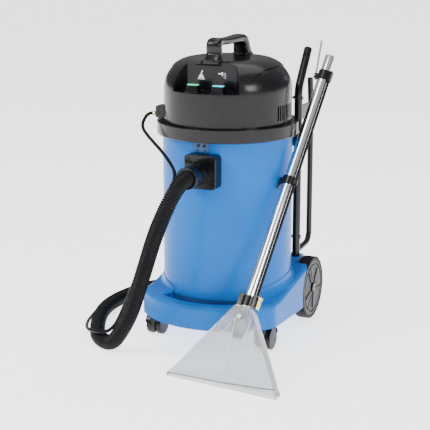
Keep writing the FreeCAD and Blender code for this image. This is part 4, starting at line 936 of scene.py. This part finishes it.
@dataclass
class PlateDots:
    """Two dark plugs in the light cover plate on the tank."""

    places: tuple[tuple[float, float], ...] = ((-12.0, 591.0), (12.0, 591.0))
    radius: float = 2.4
    back: float = -193.7
    front: float = -195.8

    def build(self) -> list[bpy.types.Object]:
        """Makes the plugs.

        Returns:
            The new pieces.
        """
        pieces = []
        for k, (x, z) in enumerate(self.places):
            outline = [(x + a, z + b) for a, b in Shape.oval(self.radius, self.radius, 2, 20)]
            mesh = Shape.slab(f"plate_plug_{k}", outline, self.back, self.front)
            pieces.append(Shape.piece(f"plate_plug_{k}", mesh, Paint.BLACK, "black_plastic", Body.CHASSIS))
        return pieces


@dataclass
class SlotShadeSheet:
    """A dark sheet of painted shade over the inner wall of the hand slot in the base's front deck, behind its
    ribs.
    """

    radius: float = 194.0
    thickness: float = 0.8
    half_angle: float = 32.0
    bottom: float = 112.0
    top: float = 147.6
    steps: int = 40

    def build(self) -> list[bpy.types.Object]:
        """Bends the sheet of painted shade round the drum.

        Returns:
            The sheet, in a list of its own.
        """
        outer = self.radius + self.thickness
        section = ((self.radius, self.bottom), (outer, self.bottom), (outer, self.top),
                   (self.radius, self.top))
        rings = []
        for k in range(self.steps + 1):
            a = math.radians(self.half_angle * (2 * k / self.steps - 1))
            rings.append([Vector((r * math.sin(a), -r * math.cos(a), z)) * MM for r, z in section])
        mesh = Shape.loft("slot_painted_shade", rings)
        return [Shape.piece("slot_painted_shade", mesh, Paint.SLOT_SHADE_BLUE, "blue_plastic", Body.CHASSIS)]


# ---- light and camera ----

@dataclass
class Studio:
    """Pale floor, soft light and the camera."""

    floor_half: float = 40.0
    camera_place: tuple[float, float, float] = (1.38309, -3.32372, 1.25498)
    camera_turn: tuple[float, float, float] = (75.9996, 0.0, 23.199)
    lens: float = 102.787

    def build(self) -> None:
        """Adds the floor, the lights and the camera."""
        self._floor()
        self._world()
        self._softbox("key_light", (-2.6, -3.0, 3.2), 1.8, 150)
        self._softbox("fill_light", (3.4, -1.6, 2.0), 1.2, 60)
        self._softbox("top_light", (0.2, 0.8, 4.0), 3.0, 60)
        self._softbox("front_top_light", (-0.25, -2.1, 3.9), 1.5, 55)
        self._camera()

    def _floor(self) -> None:
        """The pale floor."""
        h = self.floor_half
        mesh = Shape.from_faces("floor", [(-h, -h, 0), (h, -h, 0), (h, h, 0), (-h, h, 0)], [(0, 1, 2, 3)])
        obj = bpy.data.objects.new("floor", mesh)
        bpy.context.scene.collection.objects.link(obj)
        obj.location = (0, 0, -0.0005)
        mesh.materials.append(Paint.FLOOR.material())

    @staticmethod
    def _world() -> None:
        """A plain sky that is bright above and greyer at the horizon."""
        world = bpy.data.worlds.new("studio")
        bpy.context.scene.world = world
        world.use_nodes = True
        tree = world.node_tree
        back = tree.nodes["Background"]
        place = tree.nodes.new("ShaderNodeTexCoord")
        split = tree.nodes.new("ShaderNodeSeparateXYZ")
        ramp = tree.nodes.new("ShaderNodeValToRGB")
        ramp.color_ramp.elements[0].position = 0.0
        ramp.color_ramp.elements[0].color = (0.30, 0.31, 0.33, 1)
        ramp.color_ramp.elements[1].position = 0.7
        ramp.color_ramp.elements[1].color = (1.0, 1.0, 1.0, 1)
        tree.links.new(place.outputs["Generated"], split.inputs["Vector"])
        tree.links.new(split.outputs["Z"], ramp.inputs["Fac"])
        tree.links.new(ramp.outputs["Color"], back.inputs["Color"])
        back.inputs["Strength"].default_value = 0.55

    @staticmethod
    def _softbox(name: str, place: tuple[float, float, float], size: float, power: float) -> None:
        """A square soft light aimed at the machine.

        Args:
            name: the light's name.
            place: where it hangs.
            size: its side in metres.
            power: its power in watts.
        """
        data = bpy.data.lights.new(name, "AREA")
        data.size = size
        data.energy = power
        obj = bpy.data.objects.new(name, data)
        bpy.context.scene.collection.objects.link(obj)
        obj.location = place
        way = Vector((0, 0, 0.4)) - Vector(place)
        obj.rotation_euler = way.to_track_quat("-Z", "Y").to_euler()

    def _camera(self) -> None:
        """The camera, at the front and to the machine's right."""
        data = bpy.data.cameras.new("camera")
        data.sensor_width = 36.0
        data.lens = self.lens
        data.clip_end = 200.0
        obj = bpy.data.objects.new("camera", data)
        bpy.context.scene.collection.objects.link(obj)
        obj.location = self.camera_place
        obj.rotation_euler = [math.radians(a) for a in self.camera_turn]
        bpy.context.scene.camera = obj


SUCTION_ROUTE = Route("suction_route", [
    (8, -300, 533), (8, -352, 533), (-6, -385, 492), (-28, -396, 440), (-57, -393, 372),
    (-86, -383, 295), (-117, -371, 215), (-148, -358, 138), (-184, -348, 76), (-226, -335, 23.2),
    (-293, -297, 23.2), (-352, -188, 23.2), (-392, -90, 23.2), (-411, 4, 23.2), (-402, 112, 23.2),
    (-366, 216, 23.2), (-304, 304, 23.2), (-220, 372, 23.2), (-134, 410, 23.2), (-45, 424, 23.2),
    (40, 424, 23.2),
])
SOLUTION_ROUTE = Route("solution_route", [
    (-216.3, -60, 664), (-231, -60, 664), (-239, -80, 645), (-230, -108, 627), (-191, -150, 612),
    (-149, -187, 597), (-106, -221, 578), (-63, -261, 556), (-33, -299, 541), (-24, -335, 517),
    (-43, -356, 470), (-69, -362, 405), (-97, -360, 335), (-126, -350, 268), (-156, -338, 204),
    (-185, -326, 148), (-206, -318, 108), (-223, -319, 76), (-244, -330, 57), (-284, -326, 52),
    (-335, -288, 42), (-387, -190, 25), (-425, -92, 9), (-447, 6, 8), (-440, 122, 8), (-399, 235, 8),
    (-329, 328, 8), (-240, 396, 8), (-146, 440, 8), (-48, 459, 8), (42, 459, 8),
], steps=12)


def main() -> None:
    """Dresses the frame, builds each piece and reports it."""
    logging.basicConfig(level=logging.INFO, format="%(message)s")
    Studio().build()
    LOG.info("floor, lights and camera placed")
    LOG.info("nodes dressed: %d", Paint.dress_frame())
    for hose in (RibbedHose(SUCTION_ROUTE), ThinHose(SOLUTION_ROUTE)):
        LOG.info("built %s", hose.build().name)
    groups = (CarryHandle(), Pictograms(), NozzleDetails(), WheelDetails(), PlateDots(), SlotShadeSheet(),
              SwitchLens("vacuum_lens", -39.0, Body.VACUUM_SWITCH, Paint.GREEN_LENS),
              SwitchLens("pump_lens", 39.0, Body.PUMP_SWITCH, Paint.CYAN_LENS))
    for part in groups:
        for piece in part.build():
            LOG.info("built %s", piece.name)


if __name__ == "__main__":
    main()
